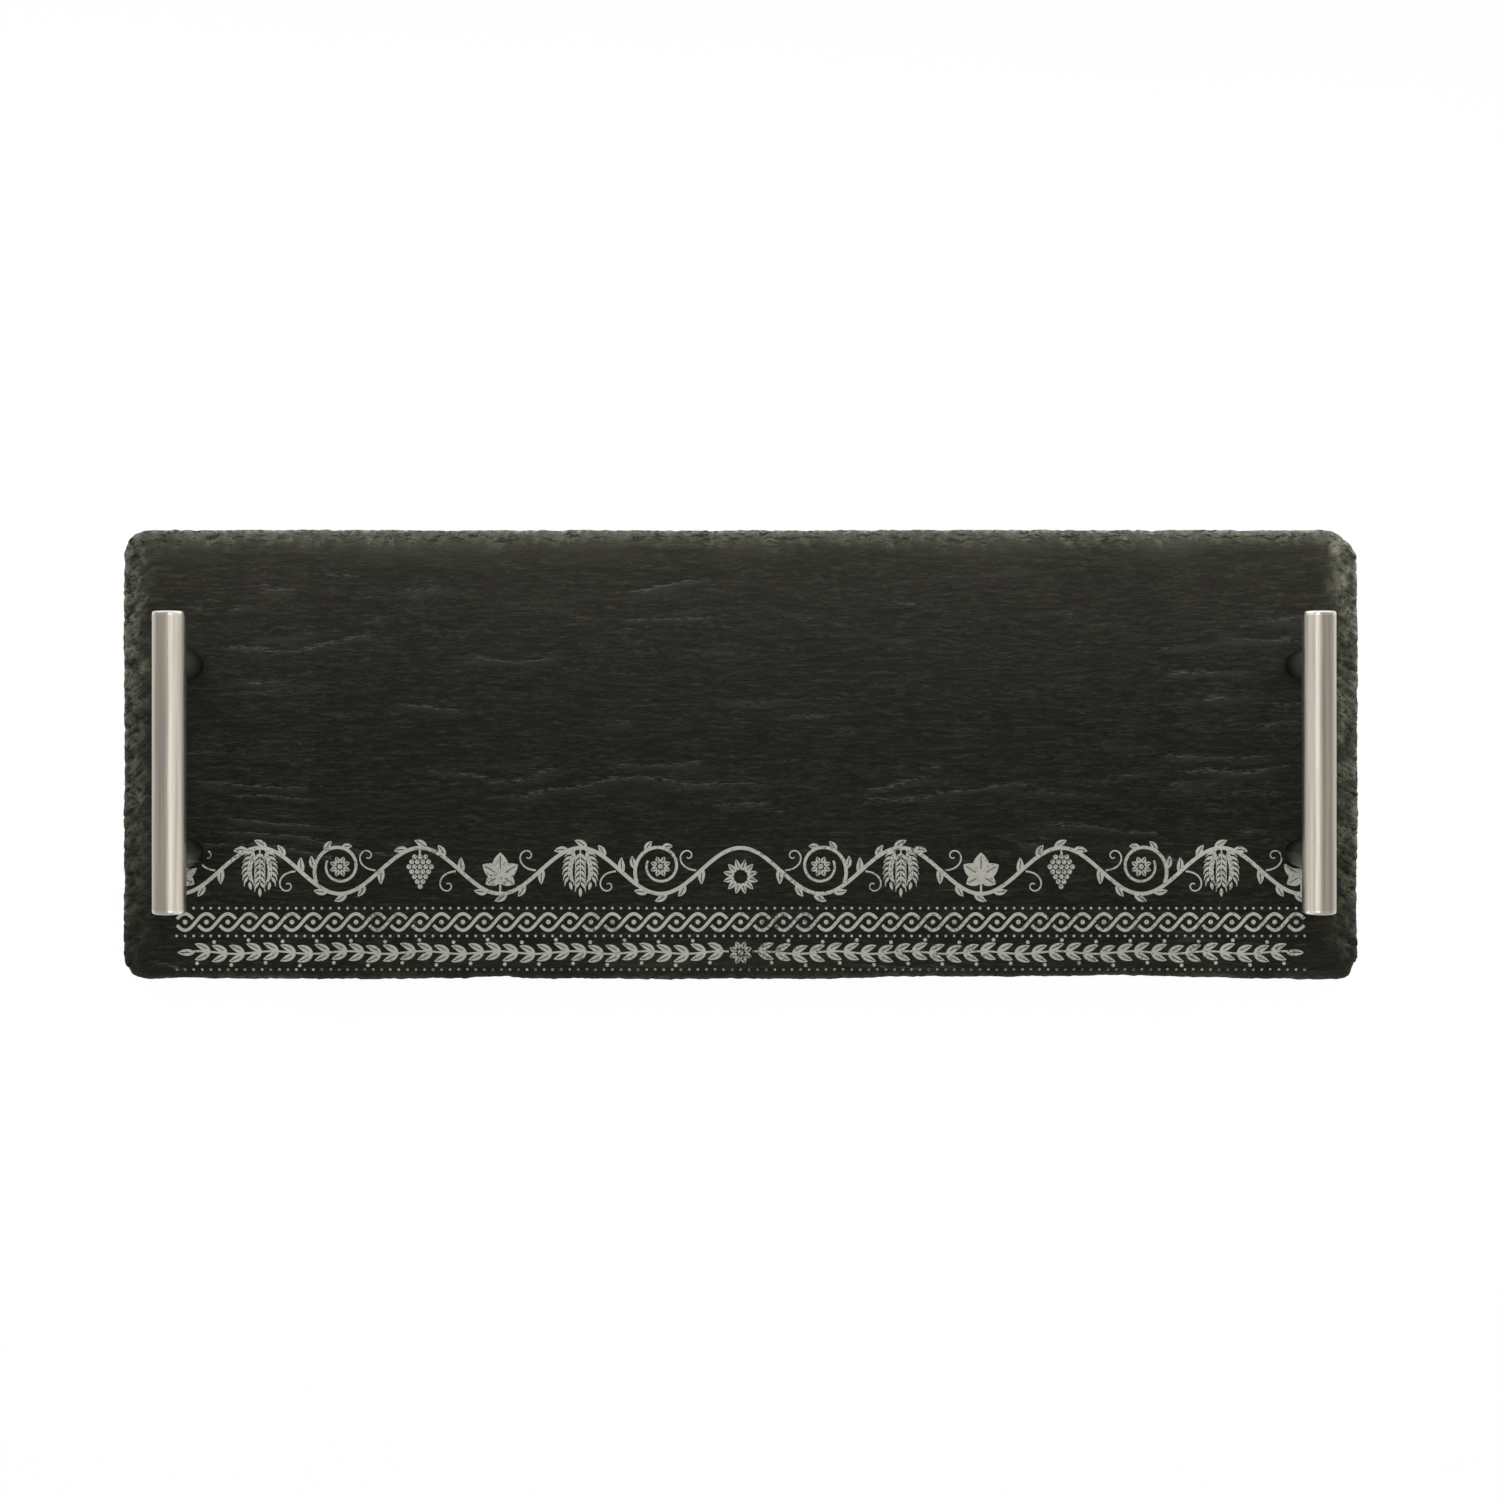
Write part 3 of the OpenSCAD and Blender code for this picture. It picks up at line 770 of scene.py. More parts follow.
def stroke(line, widths):
    """Outline of a line drawn with a pen whose width may change along it."""
    line = np.asarray(line, float)
    run = np.gradient(line, axis=0)
    run /= np.hypot(*run.T)[:, None]
    side = np.stack([-run[:, 1], run[:, 0]], 1) * (np.broadcast_to(widths, len(line)) / 2)[:, None]
    return np.vstack([line + side, (line - side)[::-1]])


def disc(centre, radius, count=12):
    """Outline of a round dot with this many corners."""
    turn = np.linspace(0, 2 * math.pi, count, endpoint=False)
    return np.asarray(centre) + radius * np.stack([np.cos(turn), np.sin(turn)], 1)


def leaf(base, angle, length, width, bend=0.0):
    """Outline of a pointed leaf that starts at base, and its midrib."""
    t = np.linspace(0, 1, LEAF_POINTS)
    turn = np.radians(angle + bend * t)
    steps = length / (LEAF_POINTS - 1) * np.stack([np.cos(turn), np.sin(turn)], 1)
    axis = np.asarray(base) + np.vstack([[0, 0], np.cumsum(steps[:-1], axis=0)])
    breadth = width * np.sin(math.pi * t ** 0.85) ** 0.85 + 0.12
    return stroke(axis, breadth), stroke(axis[2:-1], 0.34)


def towards(angle):
    """A step of 1 mm in a direction given in degrees."""
    return np.array([math.cos(math.radians(angle)), math.sin(math.radians(angle))])


def rosette(centre, radius, petals=8):
    """A round flower seen from above: separate petals round an eye."""
    inked, bare = [], []
    for i in range(petals):
        angle = 360 * (i + 0.5) / petals
        base = centre + 0.33 * radius * towards(angle)
        petal, rib = leaf(base, angle, 0.67 * radius, 3.6 * radius / petals)
        inked.append(petal)
        bare.append(rib)
    inked.append(disc(centre, 0.25 * radius))
    return inked, bare


def grapes(top):
    """A bunch of grapes that hangs from top, each with its glint left bare."""
    inked, bare = [], []
    for row, count in enumerate((3, 4, 5, 4, 3, 2, 1)):
        for i in range(count):
            place = top + ((i - (count - 1) / 2) * 2.1, -2.6 - 1.85 * row)
            inked.append(disc(place, 0.93, 10))
            bare.append(disc(place + (-0.25, 0.3), 0.25, 6))
    inked.append(stroke([top, top + (0.2, -1), top + (0, -2.6)], 0.8))
    return inked, bare


def vine_leaf(base, angle, size):
    """A leaf with five lobes on a stalk, its veins left bare."""
    inked, bare = [], []
    middle = base + 0.45 * size * towards(angle)
    lobes = (
        (0, 0.58, 0.4), (58, 0.52, 0.36), (-58, 0.52, 0.36), (120, 0.42, 0.32), (-120, 0.42, 0.32),
    )
    for turn, length, width in lobes:
        lobe, rib = leaf(middle, angle + turn, length * size, width * size)
        inked.append(lobe)
        bare.append(rib)
    inked.append(disc(middle, 0.21 * size, 16))
    inked.append(stroke([base, (base + middle) / 2, middle], 0.8))
    return inked, bare


def ear(base, angle, length, bend):
    """An ear of corn: paired grains along a bent stalk, with a beard."""
    inked = []
    pairs = 6
    place = base
    step = length / (pairs + 1)
    line = [place]
    for i in range(pairs):
        place = place + step * towards(angle)
        line.append(place)
        for side in (-1, 1):
            out = angle + side * 36
            grain, _ = leaf(place + 0.2 * side * towards(angle + 90), out, step * 1.45, 0.95)
            tip = place + step * 1.35 * towards(out)
            inked += [grain, stroke([tip, tip + 1.3 * towards(angle + side * 14)], (0.36, 0.24))]
        angle += bend / pairs
    grain, _ = leaf(place + step * towards(angle), angle, step * 1.6, 1.1)
    inked += [grain, stroke(line, 0.5)]
    return inked, []


def tendril(foot, angle, turn, size):
    """A thin shoot that curls up; turn is 1 for a curl to the left."""
    t = np.linspace(0, 1, 18)
    curl = angle + turn * 400 * t ** 1.5
    reach = np.cumsum([size * 0.42 * (1 - 0.72 * s) * towards(c) for s, c in zip(t, curl)], axis=0)
    return stroke(foot + reach, np.interp(t, (0, 1), (0.65, 0.42)))


def stem_point(x):
    """Place on the vine's stem and its direction in degrees."""
    place = np.array([x, VINE_Y + SWING * math.cos(math.pi * x / HOLLOW)])
    slope = -SWING * math.pi / HOLLOW * math.sin(math.pi * x / HOLLOW)
    return place, math.degrees(math.atan(slope))


def vine():
    """A running vine: what grows off its stem, into each hollow and on the outer side."""
    inked, bare = [], []

    def put(pair):
        inked.extend(pair[0])
        bare.extend(pair[1])

    def put_leaf(foot, angle, length, width, bend):
        one, rib = leaf(foot, angle, length, width, bend)
        inked.append(one)
        bare.append(rib)

    for k in range(1, HOLLOWS + 1):
        up = 1 if k % 2 == 0 else -1
        x = k * HOLLOW
        foot, _ = stem_point(x)
        if k in (1, 5):
            middle = np.array([x, VINE_Y - 1.6 * up])
            phi = np.radians(np.arange(0, 421, 10))
            radius = 5.0 + 5.7 * np.exp(-phi / 2.2)
            angle = up * (math.radians(35) - phi)
            line = middle + radius[:, None] * np.stack([np.cos(angle), np.sin(angle)], 1)
            inked.append(stroke(line, np.interp(phi, (0, phi[-1]), (1.35, 0.8))))
            for i, length in ((3, 5.0), (8, 4.6), (13, 4.0)):
                way = line[i + 1] - line[i]
                direction = math.degrees(math.atan2(way[1], way[0]))
                put_leaf(line[i], direction + up * 40, length, 2.2, -up * 34)
            put(rosette(middle, 3.9))
        elif k in (2, 6):
            put(ear(foot, -90, 15.0, 0))
            put(ear(foot + (-1.4, 0), -124, 13.5, 46))
            put(ear(foot + (1.4, 0), -56, 13.5, -46))
        elif k == 4:
            put(grapes(foot + (0, -0.8)))
        else:
            put(vine_leaf(foot, 90, 15.0))
        for away, lean, length in ((-9.0, 42, 5.2), (-2.5, 36, 5.6), (4.5, 34, 5.4)):
            foot, direction = stem_point(x + away)
            put_leaf(foot, direction + up * lean, length, 2.4, -up * 36)
        foot, direction = stem_point(x - HOLLOW / 2 - 1)
        put_leaf(foot, direction + up * 30, 6.0, 2.5, up * 30)
        inked.append(tendril(foot + (1.0, 0.8 * up), direction - up * 44, -up, 4.0))
    return inked, bare


def stem():
    """The vine's wavy stem, all along the board."""
    xs = np.arange(-HOLLOWS * HOLLOW - 8, HOLLOWS * HOLLOW + 8.01, 1.0)
    return stroke(np.stack([xs, VINE_Y + SWING * np.cos(math.pi * xs / HOLLOW)], 1), 1.4)


def braid(crossings):
    """Two strands that pass over and under each other, with a dot in each eye."""
    pitch, swing, width, gap = 8.0, 3.1, 1.2, 1.0
    inked = []
    for strand, sign in ((0, 1), (1, -1)):
        unders = [i for i in range(-crossings, crossings + 1) if (i + strand) % 2 == 0]
        inner = [i + 0.5 for i in unders if abs(i + 0.5) < crossings]
        cuts = [-crossings - 0.5, *inner, crossings + 0.5]
        for first, last in zip(cuts[:-1], cuts[1:]):
            start = first * pitch + gap
            end = last * pitch - gap
            if end - start < 3:
                continue
            x = np.linspace(start, end, max(8, round((end - start) / 0.7)))
            y = BRAID_Y + sign * swing * np.cos(math.pi * x / pitch)
            inked.append(stroke(np.stack([x, y], 1), width))
    inked += [disc((i * pitch, BRAID_Y), 0.9, 10) for i in range(-crossings, crossings + 1)]
    return inked


def laurel(pairs):
    """One half of a garland: paired leaves and berries along a thin stem."""
    inked, bare = [], []
    step = 6.4
    end = 6 + step * pairs
    xs = np.arange(4.5, end + 1, 1.2)
    inked.append(stroke(np.stack([xs, LAUREL_Y + 0.5 * np.sin(xs * math.pi / 14)], 1), 0.7))
    for i in range(pairs):
        x = 6.5 + step * i
        y = LAUREL_Y + 0.5 * math.sin(x * math.pi / 14)
        for side in (-1, 1):
            one, rib = leaf((x, y), side * 38, 6.6, 2.4, -side * 26)
            inked.append(one)
            bare.append(rib)
        inked.append(disc((x + 5.0, y + (4.3 if i % 2 else -4.3)), 0.7, 9))
    tip, rib = leaf((end, LAUREL_Y), 0, 6.5, 2.4)
    return inked + [tip], bare + [rib]


def ornament():
    """All the printed shapes and the bare ones inside them, in millimetres from the plate's middle line."""
    inked, bare = vine()
    garland, ribs = laurel(pairs=31)
    inked += garland
    bare += ribs
    inked += [shape * (-1, 1) for shape in inked]
    bare += [shape * (-1, 1) for shape in bare]
    inked.append(stem())
    inked += braid(crossings=26)
    centre = np.array([0, VINE_Y - 2.2])
    for pair in (rosette(np.array([0, LAUREL_Y]), 4.4), rosette(centre, 6.6, 12)):
        inked += pair[0]
        bare += pair[1]
    bare.append(disc(centre, 2.6, 20))
    inked += rosette(centre, 2.3, 6)[0]
    return inked, bare


def inside(shape, points):
    """Which points a closed line goes round."""
    a, b = shape, np.roll(shape, -1, 0)
    x, y = points[:, 0, None], points[:, 1, None]
    side = (b[:, 0] - a[:, 0]) * (y - a[:, 1]) - (x - a[:, 0]) * (b[:, 1] - a[:, 1])
    rises = (a[:, 1] <= y) & (b[:, 1] > y) & (side > 0)
    falls = (a[:, 1] > y) & (b[:, 1] <= y) & (side < 0)
    return rises.sum(1) != falls.sum(1)


def covered(shapes, points):
    """Which points lie in at least one of the shapes."""
    found = np.zeros(len(points), bool)
    order = np.argsort(points[:, 0])
    xs = points[order, 0]
    for shape in shapes:
        low, high = shape.min(0), shape.max(0)
        some = order[np.searchsorted(xs, low[0]):np.searchsorted(xs, high[0])]
        some = some[(points[some, 1] > low[1]) & (points[some, 1] < high[1])]
        found[some] |= inside(shape, points[some])
    return found


# Meshes


def mesh_piece(name, points, faces, material):
    """A finished piece at the origin, from points in millimetres."""
    mesh = bpy.data.meshes.new(name)
    mesh.from_pydata((np.asarray(points) * MM).tolist(), [], faces)
    mesh.materials.append(material)
    mesh.update()
    piece = link_object(name, mesh)
    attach(piece, "root")
    return piece


def smooth_faces(piece):
    """Smooth shading that keeps the sharp arrises of chips and of the print's rim."""
    piece.data.shade_smooth()
    piece.data.set_sharp_from_angle(angle=math.radians(50))


def write_attribute(piece, name, values):
    """Gives each point of a piece a value that its material reads."""
    layer = piece.data.attributes.new(name, "FLOAT", "POINT")
    layer.data.foreach_set("value", values)


def triangulated(loops, outlines, inner):
    """Triangles inside the loops, with every loop's and outline's line among their edges.

    The loops' points come first in the points that are given back, in their own order.
    """
    drawn = [*loops, *outlines]
    points = np.vstack([*drawn, inner])
    edges = []
    start = 0
    for line in drawn:
        count = len(line)
        edges += [(start + i, start + (i + 1) % count) for i in range(count)]
        start += count
    found, _, faces, origins, _, _ = delaunay_2d_cdt(
        [Vector(p) for p in points.tolist()], edges, [], 1, 1e-5
    )
    fixed = sum(len(loop) for loop in loops)
    first = np.zeros(fixed, int)
    for index, origin in enumerate(origins):
        for old in origin:
            if old < fixed:
                first[old] = index
    rest = np.setdiff1d(np.arange(len(found)), first)
    order = np.concatenate([first, rest])
    rank = np.empty(len(found), int)
    rank[order] = np.arange(len(found))
    points = np.array([tuple(p) for p in found])[order]
    faces = rank[np.array(faces)]
    middle = points[faces].mean(1)
    for hole in loops[1:]:
        centre = hole.mean(0)
        away = np.hypot(*(middle - centre).T)
        faces, middle = (part[away > np.hypot(*(hole[0] - centre))] for part in (faces, middle))
    return points, faces


def grid(step_x, step_y, jitter, seed):
    """Points all over the plate's box at these steps, each a little out of line."""
    xs = np.arange(plate_low[0], plate_high[0], step_x)
    ys = np.arange(plate_low[1], plate_high[1], step_y)
    gx, gy = np.meshgrid(xs, ys)
    gx = gx + (np.arange(len(ys)) % 2)[:, None] * step_x / 2
    points = np.stack([gx.ravel(), gy.ravel()], 1)
    rng = np.random.default_rng(seed)
    return points + rng.uniform(-jitter, jitter, points.shape) * (step_x, step_y)


HOLE_SIDES = 28
# Mesh points inside the top keep this far from the ornament's lines
CLEAR_OF_LINES = 0.45
# Rings of the broken side: share of the way down, and how far it stands back from the outline
SIDE_RINGS = ((0.35, -0.05), (0.7, 0.12), (1.0, 0.8))


def ink_plan():
    """The ornament's inked and bare shapes at their places on the plate, kept clear of the posts."""
    shift = (plate_middle[0], 0)
    inked, bare = ([shape + shift for shape in shapes] for shapes in ornament())
    for place in post_places:
        if place[1] < 0:
            bare.append(disc(place, post_r + 1.2, 32))
    return inked, bare


def top_grid(plan):
    """Points all over the top, closer together near the edge, and clear of the ornament's lines."""
    parts = []
    # Steps of the grid, the depths behind the edge that it covers, and its seed
    for step, low, high, seed in (((0.95, 0.85), 0.45, 13, 41), ((1.5, 1.0), 13, 999, 42)):
        points = grid(*step, jitter=0.18, seed=seed)
        depth, _ = edge_depth(*points.T)
        parts.append(points[(depth > low) & (depth < high)])
    points = clear_of_posts(np.vstack(parts), HOLE_R + 0.4)
    return points[distances(point_tree(np.vstack(plan)), points) > CLEAR_OF_LINES]


def make_slate(top_points, top_faces, top_z, top_marks, holes):
    """The whole plate as one closed mesh: riven faces, dressed edges, broken sides and screw holes."""
    edge_n = len(outline)
    edge_z = top_z[:edge_n]
    layers = [np.column_stack([top_points, top_z])]
    for number, (down, back) in enumerate(SIDE_RINGS):
        swing = 0.16 * ring_noise(along_edge, girth, 3.4, 61 + number)
        swing = swing + 0.08 * ring_noise(along_edge, girth, 1.6, 71 + number)
        ring = outline - (back + swing)[:, None] * outward
        if down < 1:
            layers.append(np.column_stack([ring, edge_z + (slate_bottom - edge_z) * down]))
    # The underside is rarely seen, so its points lie further apart
    inner = grid(4.2, 4.2, jitter=0.2, seed=43)
    inner = clear_of_posts(inner[edge_depth(*inner.T)[0] > 3.2], HOLE_R + 1.0)
    under_points, under_faces = triangulated([ring, *holes], [], inner)
    layers.append(np.column_stack([under_points, under_surface(*under_points.T)]))
    starts = np.concatenate([[0], np.cumsum([len(layer) for layer in layers])])

    faces = top_faces.tolist()
    ring_i = np.arange(edge_n)
    ring_next = (ring_i + 1) % edge_n
    for upper, lower in zip(starts[:-2], starts[1:-1]):
        faces += np.stack([ring_i + upper, ring_i + lower, ring_next + lower], 1).tolist()
        faces += np.stack([ring_i + upper, ring_next + lower, ring_next + upper], 1).tolist()
    under_start = starts[-2]
    faces += (under_faces[:, ::-1] + under_start).tolist()
    hole_i = np.arange(HOLE_SIDES)
    hole_next = (hole_i + 1) % HOLE_SIDES
    for number in range(len(holes)):
        high = edge_n + number * HOLE_SIDES
        low = under_start + high
        faces += np.stack([hole_i + high, hole_next + high, hole_next + low], 1).tolist()
        faces += np.stack([hole_i + high, hole_next + low, hole_i + low], 1).tolist()

    points = np.vstack(layers)
    slate = mesh_piece("slate", points, faces, slate_material())
    at_end = np.tile(np.abs(outward[:, 0]), len(SIDE_RINGS) - 1)
    on_sides = {"chipped": 1, "border": 1, "lip": 0.4, "at_end": at_end}
    for mark, top_values in top_marks.items():
        values = np.zeros(len(points))
        values[:len(top_values)] = top_values
        values[len(top_values):under_start] = on_sides[mark]
        write_attribute(slate, mark, values)
    # The values named fresh are painted light and shade on the broken stone
    write_attribute(slate, "fresh", break_light_and_patches(points[:, 0], points[:, 1]))
    for mark, values in stone_marks(points[:, 0], points[:, 1]).items():
        write_attribute(slate, mark, values)
    smooth_faces(slate)
    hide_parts("slate_plate")
    return slate


def split_corners(faces):
    """Gives each fan of faces round a point a point of its own, and the faces' open edges."""
    corners = np.arange(faces.size).reshape(-1, 3)
    starts, ends = faces.ravel(), np.roll(faces, -1, 1).ravel()
    nexts = np.roll(corners, -1, 1).ravel()
    keys = starts * (faces.max() + 1) + ends
    twins = ends * (faces.max() + 1) + starts
    order = np.argsort(keys)
    found = np.searchsorted(keys[order], twins).clip(max=len(keys) - 1)
    twin = order[found]
    shared = keys[twin] == twins
    first = np.concatenate([corners.ravel()[shared], nexts[shared]])
    second = np.concatenate([nexts[twin[shared]], corners.ravel()[twin[shared]]])
    labels = corners.ravel().copy()
    while True:
        least = np.minimum(labels[first], labels[second])
        old = labels.copy()
        np.minimum.at(labels, first, least)
        np.minimum.at(labels, second, least)
        if (labels == old).all():
            break
    kept, fresh = np.unique(labels, return_inverse=True)
    fresh = fresh.reshape(-1, 3)
    open_edges = np.stack([fresh.ravel(), np.roll(fresh, -1, 1).ravel()], 1)[~shared]
    return faces.ravel()[kept], fresh, open_edges


# The skin of ink reaches this far over the stone's face and into it
INK_ABOVE, INK_BELOW = 0.05, 0.04


def make_ink(top_points, top_faces, top_z, plan, ink):
    """The print as a thin closed skin that lies on the stone, from the stone's own triangles."""
    inked, bare = plan
    middle = top_points[top_faces].mean(1)
    faces = top_faces[covered(inked, middle) & ~covered(bare, middle)]
    old, faces, open_edges = split_corners(faces)
    places = np.column_stack([top_points[old], top_z[old]])
    points = np.vstack([places + (0, 0, INK_ABOVE), places - (0, 0, INK_BELOW)])
    below = len(old)
    start, end = open_edges.T
    faces = np.vstack([
        faces,
        faces[:, ::-1] + below,
        np.stack([start, start + below, end + below], 1),
        np.stack([start, end + below, end], 1),
    ])
    finish_ink(mesh_piece("printed_ornament", points, faces.tolist(), ink))


def finish_ink(piece):
    """Gives a printed piece what its finish needs of the stone under it."""
    x, y, _ = vertices_mm(piece.data).T
    for mark, values in stone_marks(x, y).items():
        write_attribute(piece, mark, values)
    smooth_faces(piece)


def dots_tree():
    """Nodes that repeat a dot along each row and lay it on the stone, and its inputs' identifiers."""
    tree = bpy.data.node_groups.new("rows_of_dots", "GeometryNodeTree")
    tree.interface.new_socket("Row middles", in_out="INPUT", socket_type="NodeSocketGeometry")
    named = {}
    for name, kind in (
        ("Stone", "Object"), ("Ink", "Material"), ("Count", "Int"), ("Pitch", "Float"), ("Radius", "Float"),
        ("Thickness", "Float"), ("Lift", "Float"),
    ):
        socket = tree.interface.new_socket(name, in_out="INPUT", socket_type="NodeSocket" + kind)
        named[name] = socket.identifier
    tree.interface.new_socket("Dots", in_out="OUTPUT", socket_type="NodeSocketGeometry")
    given = add(tree, "NodeGroupInput").outputs
    gaps = add(tree, "ShaderNodeMath", {0: given["Count"], 1: 1.0}, operation="SUBTRACT").outputs[0]
    reach = add(tree, "ShaderNodeMath", {0: gaps, 1: given["Pitch"]}, operation="MULTIPLY").outputs[0]
    start = add(tree, "ShaderNodeMath", {0: reach, 1: -0.5}, operation="MULTIPLY").outputs[0]
    row = add(tree, "GeometryNodeMeshLine", {
        "Count": given["Count"],
        "Start Location": add(tree, "ShaderNodeCombineXYZ", {"X": start}).outputs[0],
        "Offset": add(tree, "ShaderNodeCombineXYZ", {"X": given["Pitch"]}).outputs[0],
    })
    rows = add(tree, "GeometryNodeInstanceOnPoints", {
        "Points": given["Row middles"], "Instance": row.outputs["Mesh"],
    })
    places = add(tree, "GeometryNodeRealizeInstances", {"Geometry": rows.outputs["Instances"]})
    dot = add(tree, "GeometryNodeMeshCylinder", {
        "Vertices": 10, "Radius": given["Radius"], "Depth": given["Thickness"],
    })
    dots = add(tree, "GeometryNodeInstanceOnPoints", {
        "Points": places.outputs["Geometry"], "Instance": dot.outputs["Mesh"],
    })
    whole = add(tree, "GeometryNodeRealizeInstances", {"Geometry": dots.outputs["Instances"]})
    # Each corner of a dot drops onto the stone right below it
    place = add(tree, "GeometryNodeInputPosition").outputs[0]
    corner = add(tree, "ShaderNodeSeparateXYZ", {"Vector": place})
    above = add(tree, "ShaderNodeCombineXYZ", {"X": corner.outputs["X"], "Y": corner.outputs["Y"], "Z": 0.1})
    stone = add(tree, "GeometryNodeObjectInfo", {"Object": given["Stone"]})
    hit = add(tree, "GeometryNodeRaycast", {
        "Target Geometry": stone.outputs["Geometry"], "Source Position": above.outputs[0],
        "Ray Direction": (0, 0, -1), "Ray Length": 0.2,
    })
    stone_z = add(tree, "ShaderNodeSeparateXYZ", {"Vector": hit.outputs["Hit Position"]}).outputs["Z"]
    high = add(tree, "ShaderNodeMath", {0: corner.outputs["Z"], 1: stone_z}, operation="ADD").outputs[0]
    high = add(tree, "ShaderNodeMath", {0: high, 1: given["Lift"]}, operation="ADD").outputs[0]
    laid = add(tree, "GeometryNodeSetPosition", {
        "Geometry": whole.outputs["Geometry"],
        "Position": add(
            tree, "ShaderNodeCombineXYZ", {"X": corner.outputs["X"], "Y": corner.outputs["Y"], "Z": high},
        ).outputs[0],
    })
    plain = add(tree, "GeometryNodeRealizeInstances", {"Geometry": laid.outputs["Geometry"]})
    inked = add(
        tree, "GeometryNodeSetMaterial", {"Geometry": plain.outputs["Geometry"], "Material": given["Ink"]},
    )
    add(tree, "NodeGroupOutput", {"Dots": inked.outputs["Geometry"]})
    return tree, named


def make_dots(stone, ink):
    """Three rows of printed dots that frame the braid and the laurel."""
    tree, named = dots_tree()
    sizes = {
        "Stone": stone, "Ink": ink, "Count": 133, "Pitch": 3.2 * MM, "Radius": 0.5 * MM,
        "Thickness": (INK_ABOVE + INK_BELOW) * MM, "Lift": (INK_ABOVE - INK_BELOW) / 2 * MM,
    }
    middles = bpy.data.meshes.new("row_middles")
    middles.from_pydata([(plate_middle[0] * MM, y * MM, 0) for y in DOTS_Y], [], [])
    dots = link_object("printed_dots", middles)
    modifier = dots.modifiers.new("rows_of_dots", "NODES")
    modifier.node_group = tree
    for name, value in sizes.items():
        modifier[named[name]] = value
    seen = dots.evaluated_get(bpy.context.evaluated_depsgraph_get())
    mesh = bpy.data.meshes.new_from_object(seen)
    dots.modifiers.clear()
    dots.data = mesh
    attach(dots, "root")
    finish_ink(dots)


def make_plate():
    """The stone and its print, from one triangulation of the top that follows the ornament's lines."""
    holes = [disc(place, HOLE_R, HOLE_SIDES) for place in post_places]
    plan = ink_plan()
    drawn = [*plan[0], *plan[1]]
    points, faces = triangulated([outline, *holes], drawn, top_grid(drawn))
    z, marks = top_surface(*points.T)
    stone = make_slate(points, faces, z, marks, holes)
    ink = ink_material()
    make_ink(points, faces, z, plan, ink)
    make_dots(stone, ink)


# Floor and light, in millimetres

FLOOR_REACH = 4000


def make_floor():
    """A plain white floor that keeps a soft shadow."""
    material, tree = new_material("white_floor")
    path = add(tree, "ShaderNodeLightPath").outputs
    matt = add(tree, "ShaderNodeBsdfDiffuse", {"Color": paint("#f2f2f0")})
    glow = add(tree, "ShaderNodeEmission", {"Color": paint("#ffffff"), "Strength": 1.03})
    # Reflections show the white floor half as bright as the camera sees it, to match the bars' outer sides
    share = add(tree, "ShaderNodeMath", {0: path["Is Camera Ray"], 1: 0.94}, operation="MULTIPLY").outputs[0]
    share = add(
        tree, "ShaderNodeMath", {0: path["Is Glossy Ray"], 1: 0.5, 2: share}, operation="MULTIPLY_ADD",
    ).outputs[0]
    both = add(tree, "ShaderNodeMixShader", {0: share, 1: matt.outputs[0], 2: glow.outputs[0]})
    add(tree, "ShaderNodeOutputMaterial", {"Surface": both.outputs[0]})
    mesh = bpy.data.meshes.new("floor")
    corners = [(x * FLOOR_REACH, y * FLOOR_REACH, 0) for x, y in ((-1, -1), (1, -1), (1, 1), (-1, 1))]
    mesh.from_pydata((np.array(corners) * MM).tolist(), [], [(0, 1, 2, 3)])
    mesh.materials.append(material)
    link_object("floor", mesh)


def make_light(name, place, size, power, aim, in_steel=True):
    """A soft rectangular lamp at a place, in millimetres, that faces another."""
    lamp = bpy.data.lights.new(name, "AREA")
    lamp.shape = "RECTANGLE"
    lamp.size, lamp.size_y = size[0] * MM, size[1] * MM
    lamp.energy = power
    lamp_object = link_object(name, lamp)
    lamp_object.location = Vector(place) * MM
    way = Vector(aim) - Vector(place)
    lamp_object.rotation_euler = way.to_track_quat("-Z", "Y").to_euler()
    lamp_object.visible_camera = False
    lamp_object.visible_glossy = in_steel


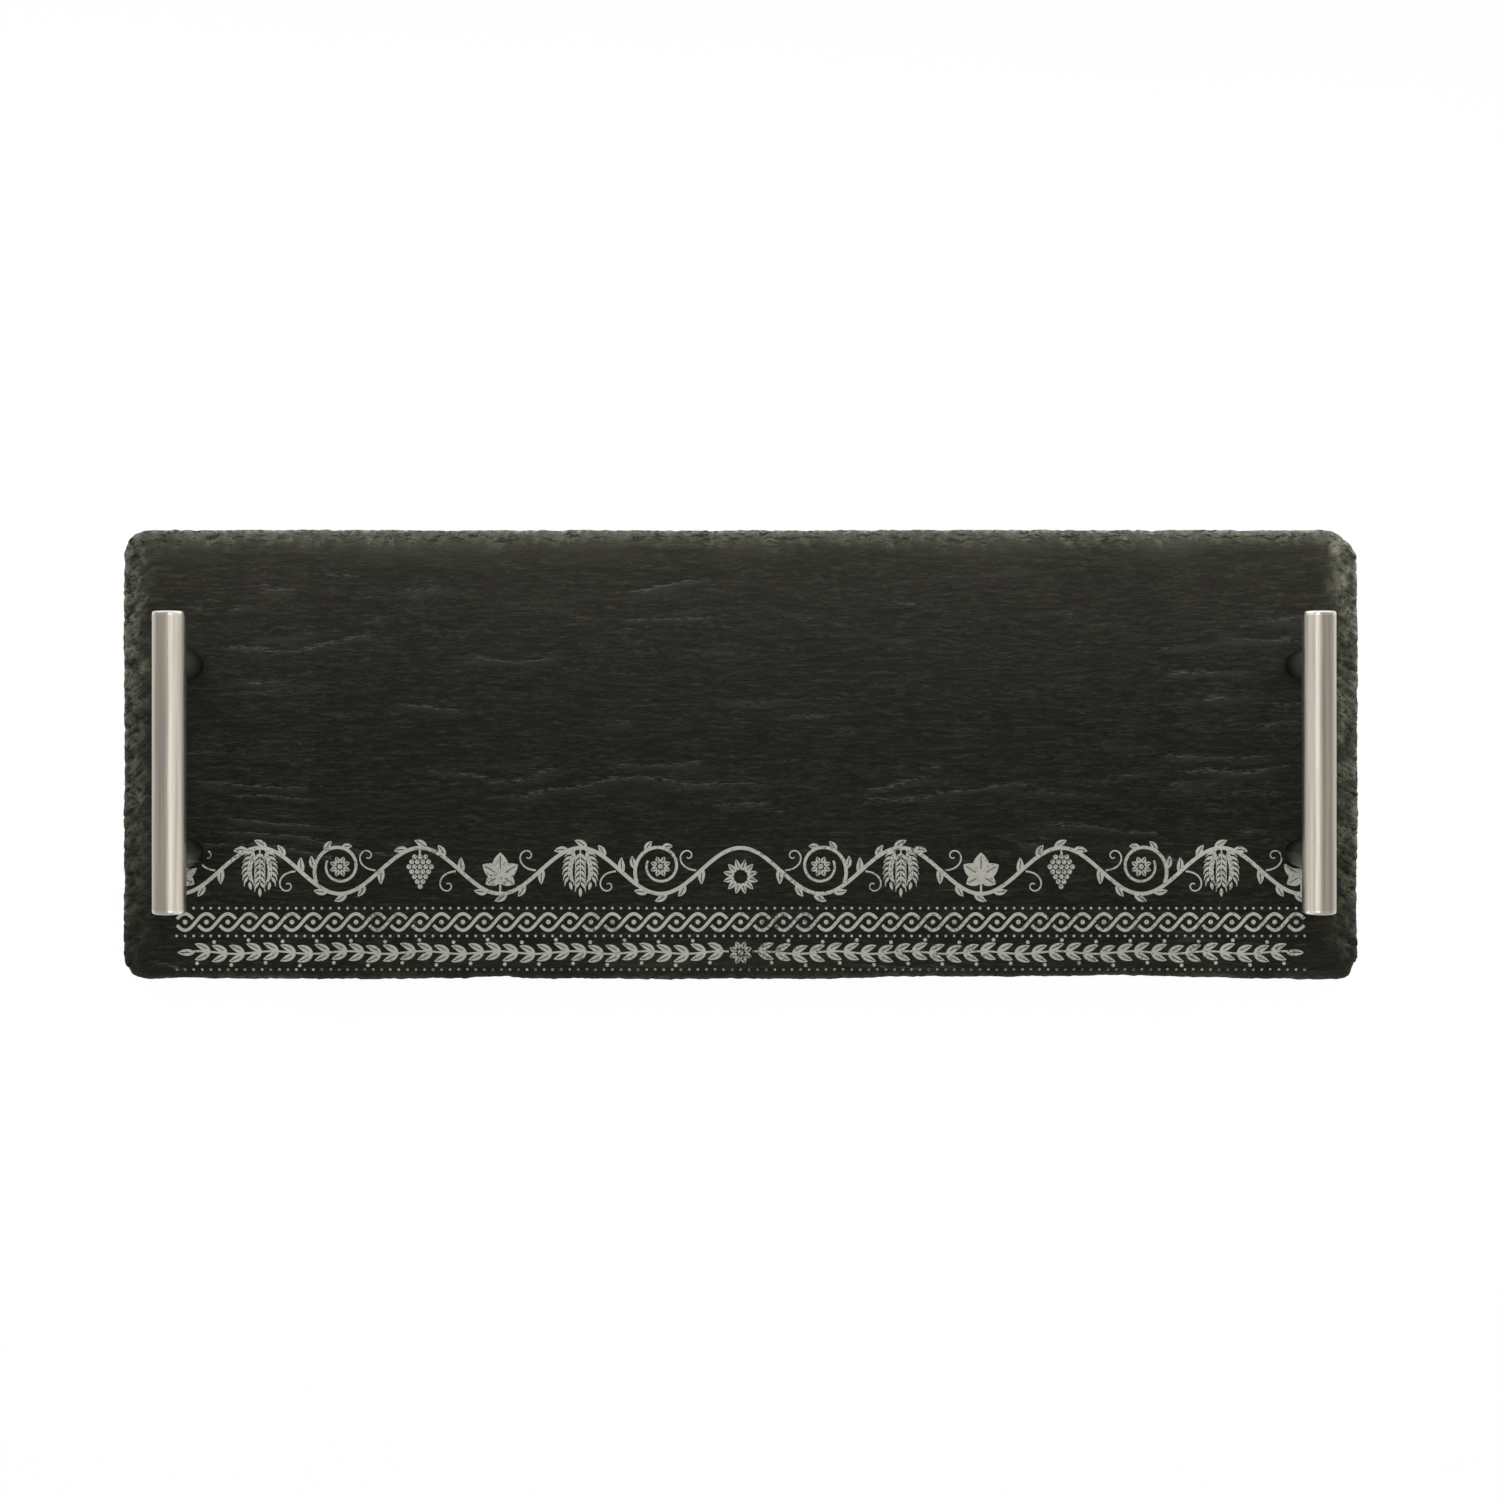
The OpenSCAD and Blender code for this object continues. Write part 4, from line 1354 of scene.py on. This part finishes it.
def make_lights():
    """Lamps round the board, and a room that the camera sees as white."""
    # The strip that lights the back edge would burn out in the steel, which sees a dimmer card in its place
    make_light("back_strip", (10, 190, 125), (1200, 110), 0.67, (0, 20, 0), in_steel=False)
    make_light("back_card", (10, 200, 100), (1200, 170), 0.65, (0, 20, 30))
    make_light("overhead_softbox", (0, 0, 490), (290, 420), 0.42, (0, 0, 0))
    # Two sheets that lean over the middle, each seen only in the inner side of the bar it faces
    make_light("left_sheet", (-74, 0, 151), (420, 327), 0.228, (-352, 0, 323))
    make_light("right_sheet", (74, 0, 151), (420, 327), 0.228, (352, 0, 323))
    world = bpy.data.worlds.new("studio")
    bpy.context.scene.world = world
    world.use_nodes = True
    tree = world.node_tree
    tree.nodes.clear()
    path = add(tree, "ShaderNodeLightPath").outputs
    room = add(tree, "ShaderNodeBackground", {"Color": paint("#c9c8c4"), "Strength": 0.62})
    white = add(tree, "ShaderNodeBackground", {"Color": paint("#ffffff"), "Strength": 1.0})
    # Reflections show a little of the white background, to match the bars' bright rims
    share = add(
        tree, "ShaderNodeMath", {0: path["Is Glossy Ray"], 1: 0.15, 2: path["Is Camera Ray"]},
        operation="MULTIPLY_ADD",
    ).outputs[0]
    both = add(tree, "ShaderNodeMixShader", {0: share, 1: room.outputs[0], 2: white.outputs[0]})
    add(tree, "ShaderNodeOutputWorld", {"Surface": both.outputs[0]})
    bpy.context.scene.view_settings.view_transform = "Standard"


def dress_cad_nodes():
    """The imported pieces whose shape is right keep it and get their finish."""
    # Bars are brushed lengthways, caps across their ends, and posts on the lathe, in rings
    bars = brushed_steel_material(
        "brushed_steel_bar", "XZ", "Y", 0, "#b4aea4", "#d5cdc0", (0.22, 0.33), 0.45)
    # The caps' paler steel colour is a painted highlight for the bright rims at the bars' ends
    caps = brushed_steel_material(
        "brushed_steel_cap", "Z", "Y", 0, "#c6c1b9", "#e2ddd5", (0.16, 0.24), 0)
    posts = brushed_steel_material(
        "turned_steel_post", "Z", "Z", 0.25, "#aaa59c", "#c8c2b8", (0.28, 0.36), 0.1, foot=(0.012, 0.032))
    plain, rubber = plain_steel_material(), rubber_material()
    finish = {
        "bar": bars, "cap": caps, "post": posts, "stud": plain, "screw": plain,
        "washer": plain, "gasket": rubber, "foot": rubber,
    }
    for name, node in nodes.items():
        piece = name.split("_")[-1]
        if piece in finish:
            node.data.materials.clear()
            node.data.materials.append(finish[piece])


make_camera()
make_floor()
make_lights()
dress_cad_nodes()
make_plate()
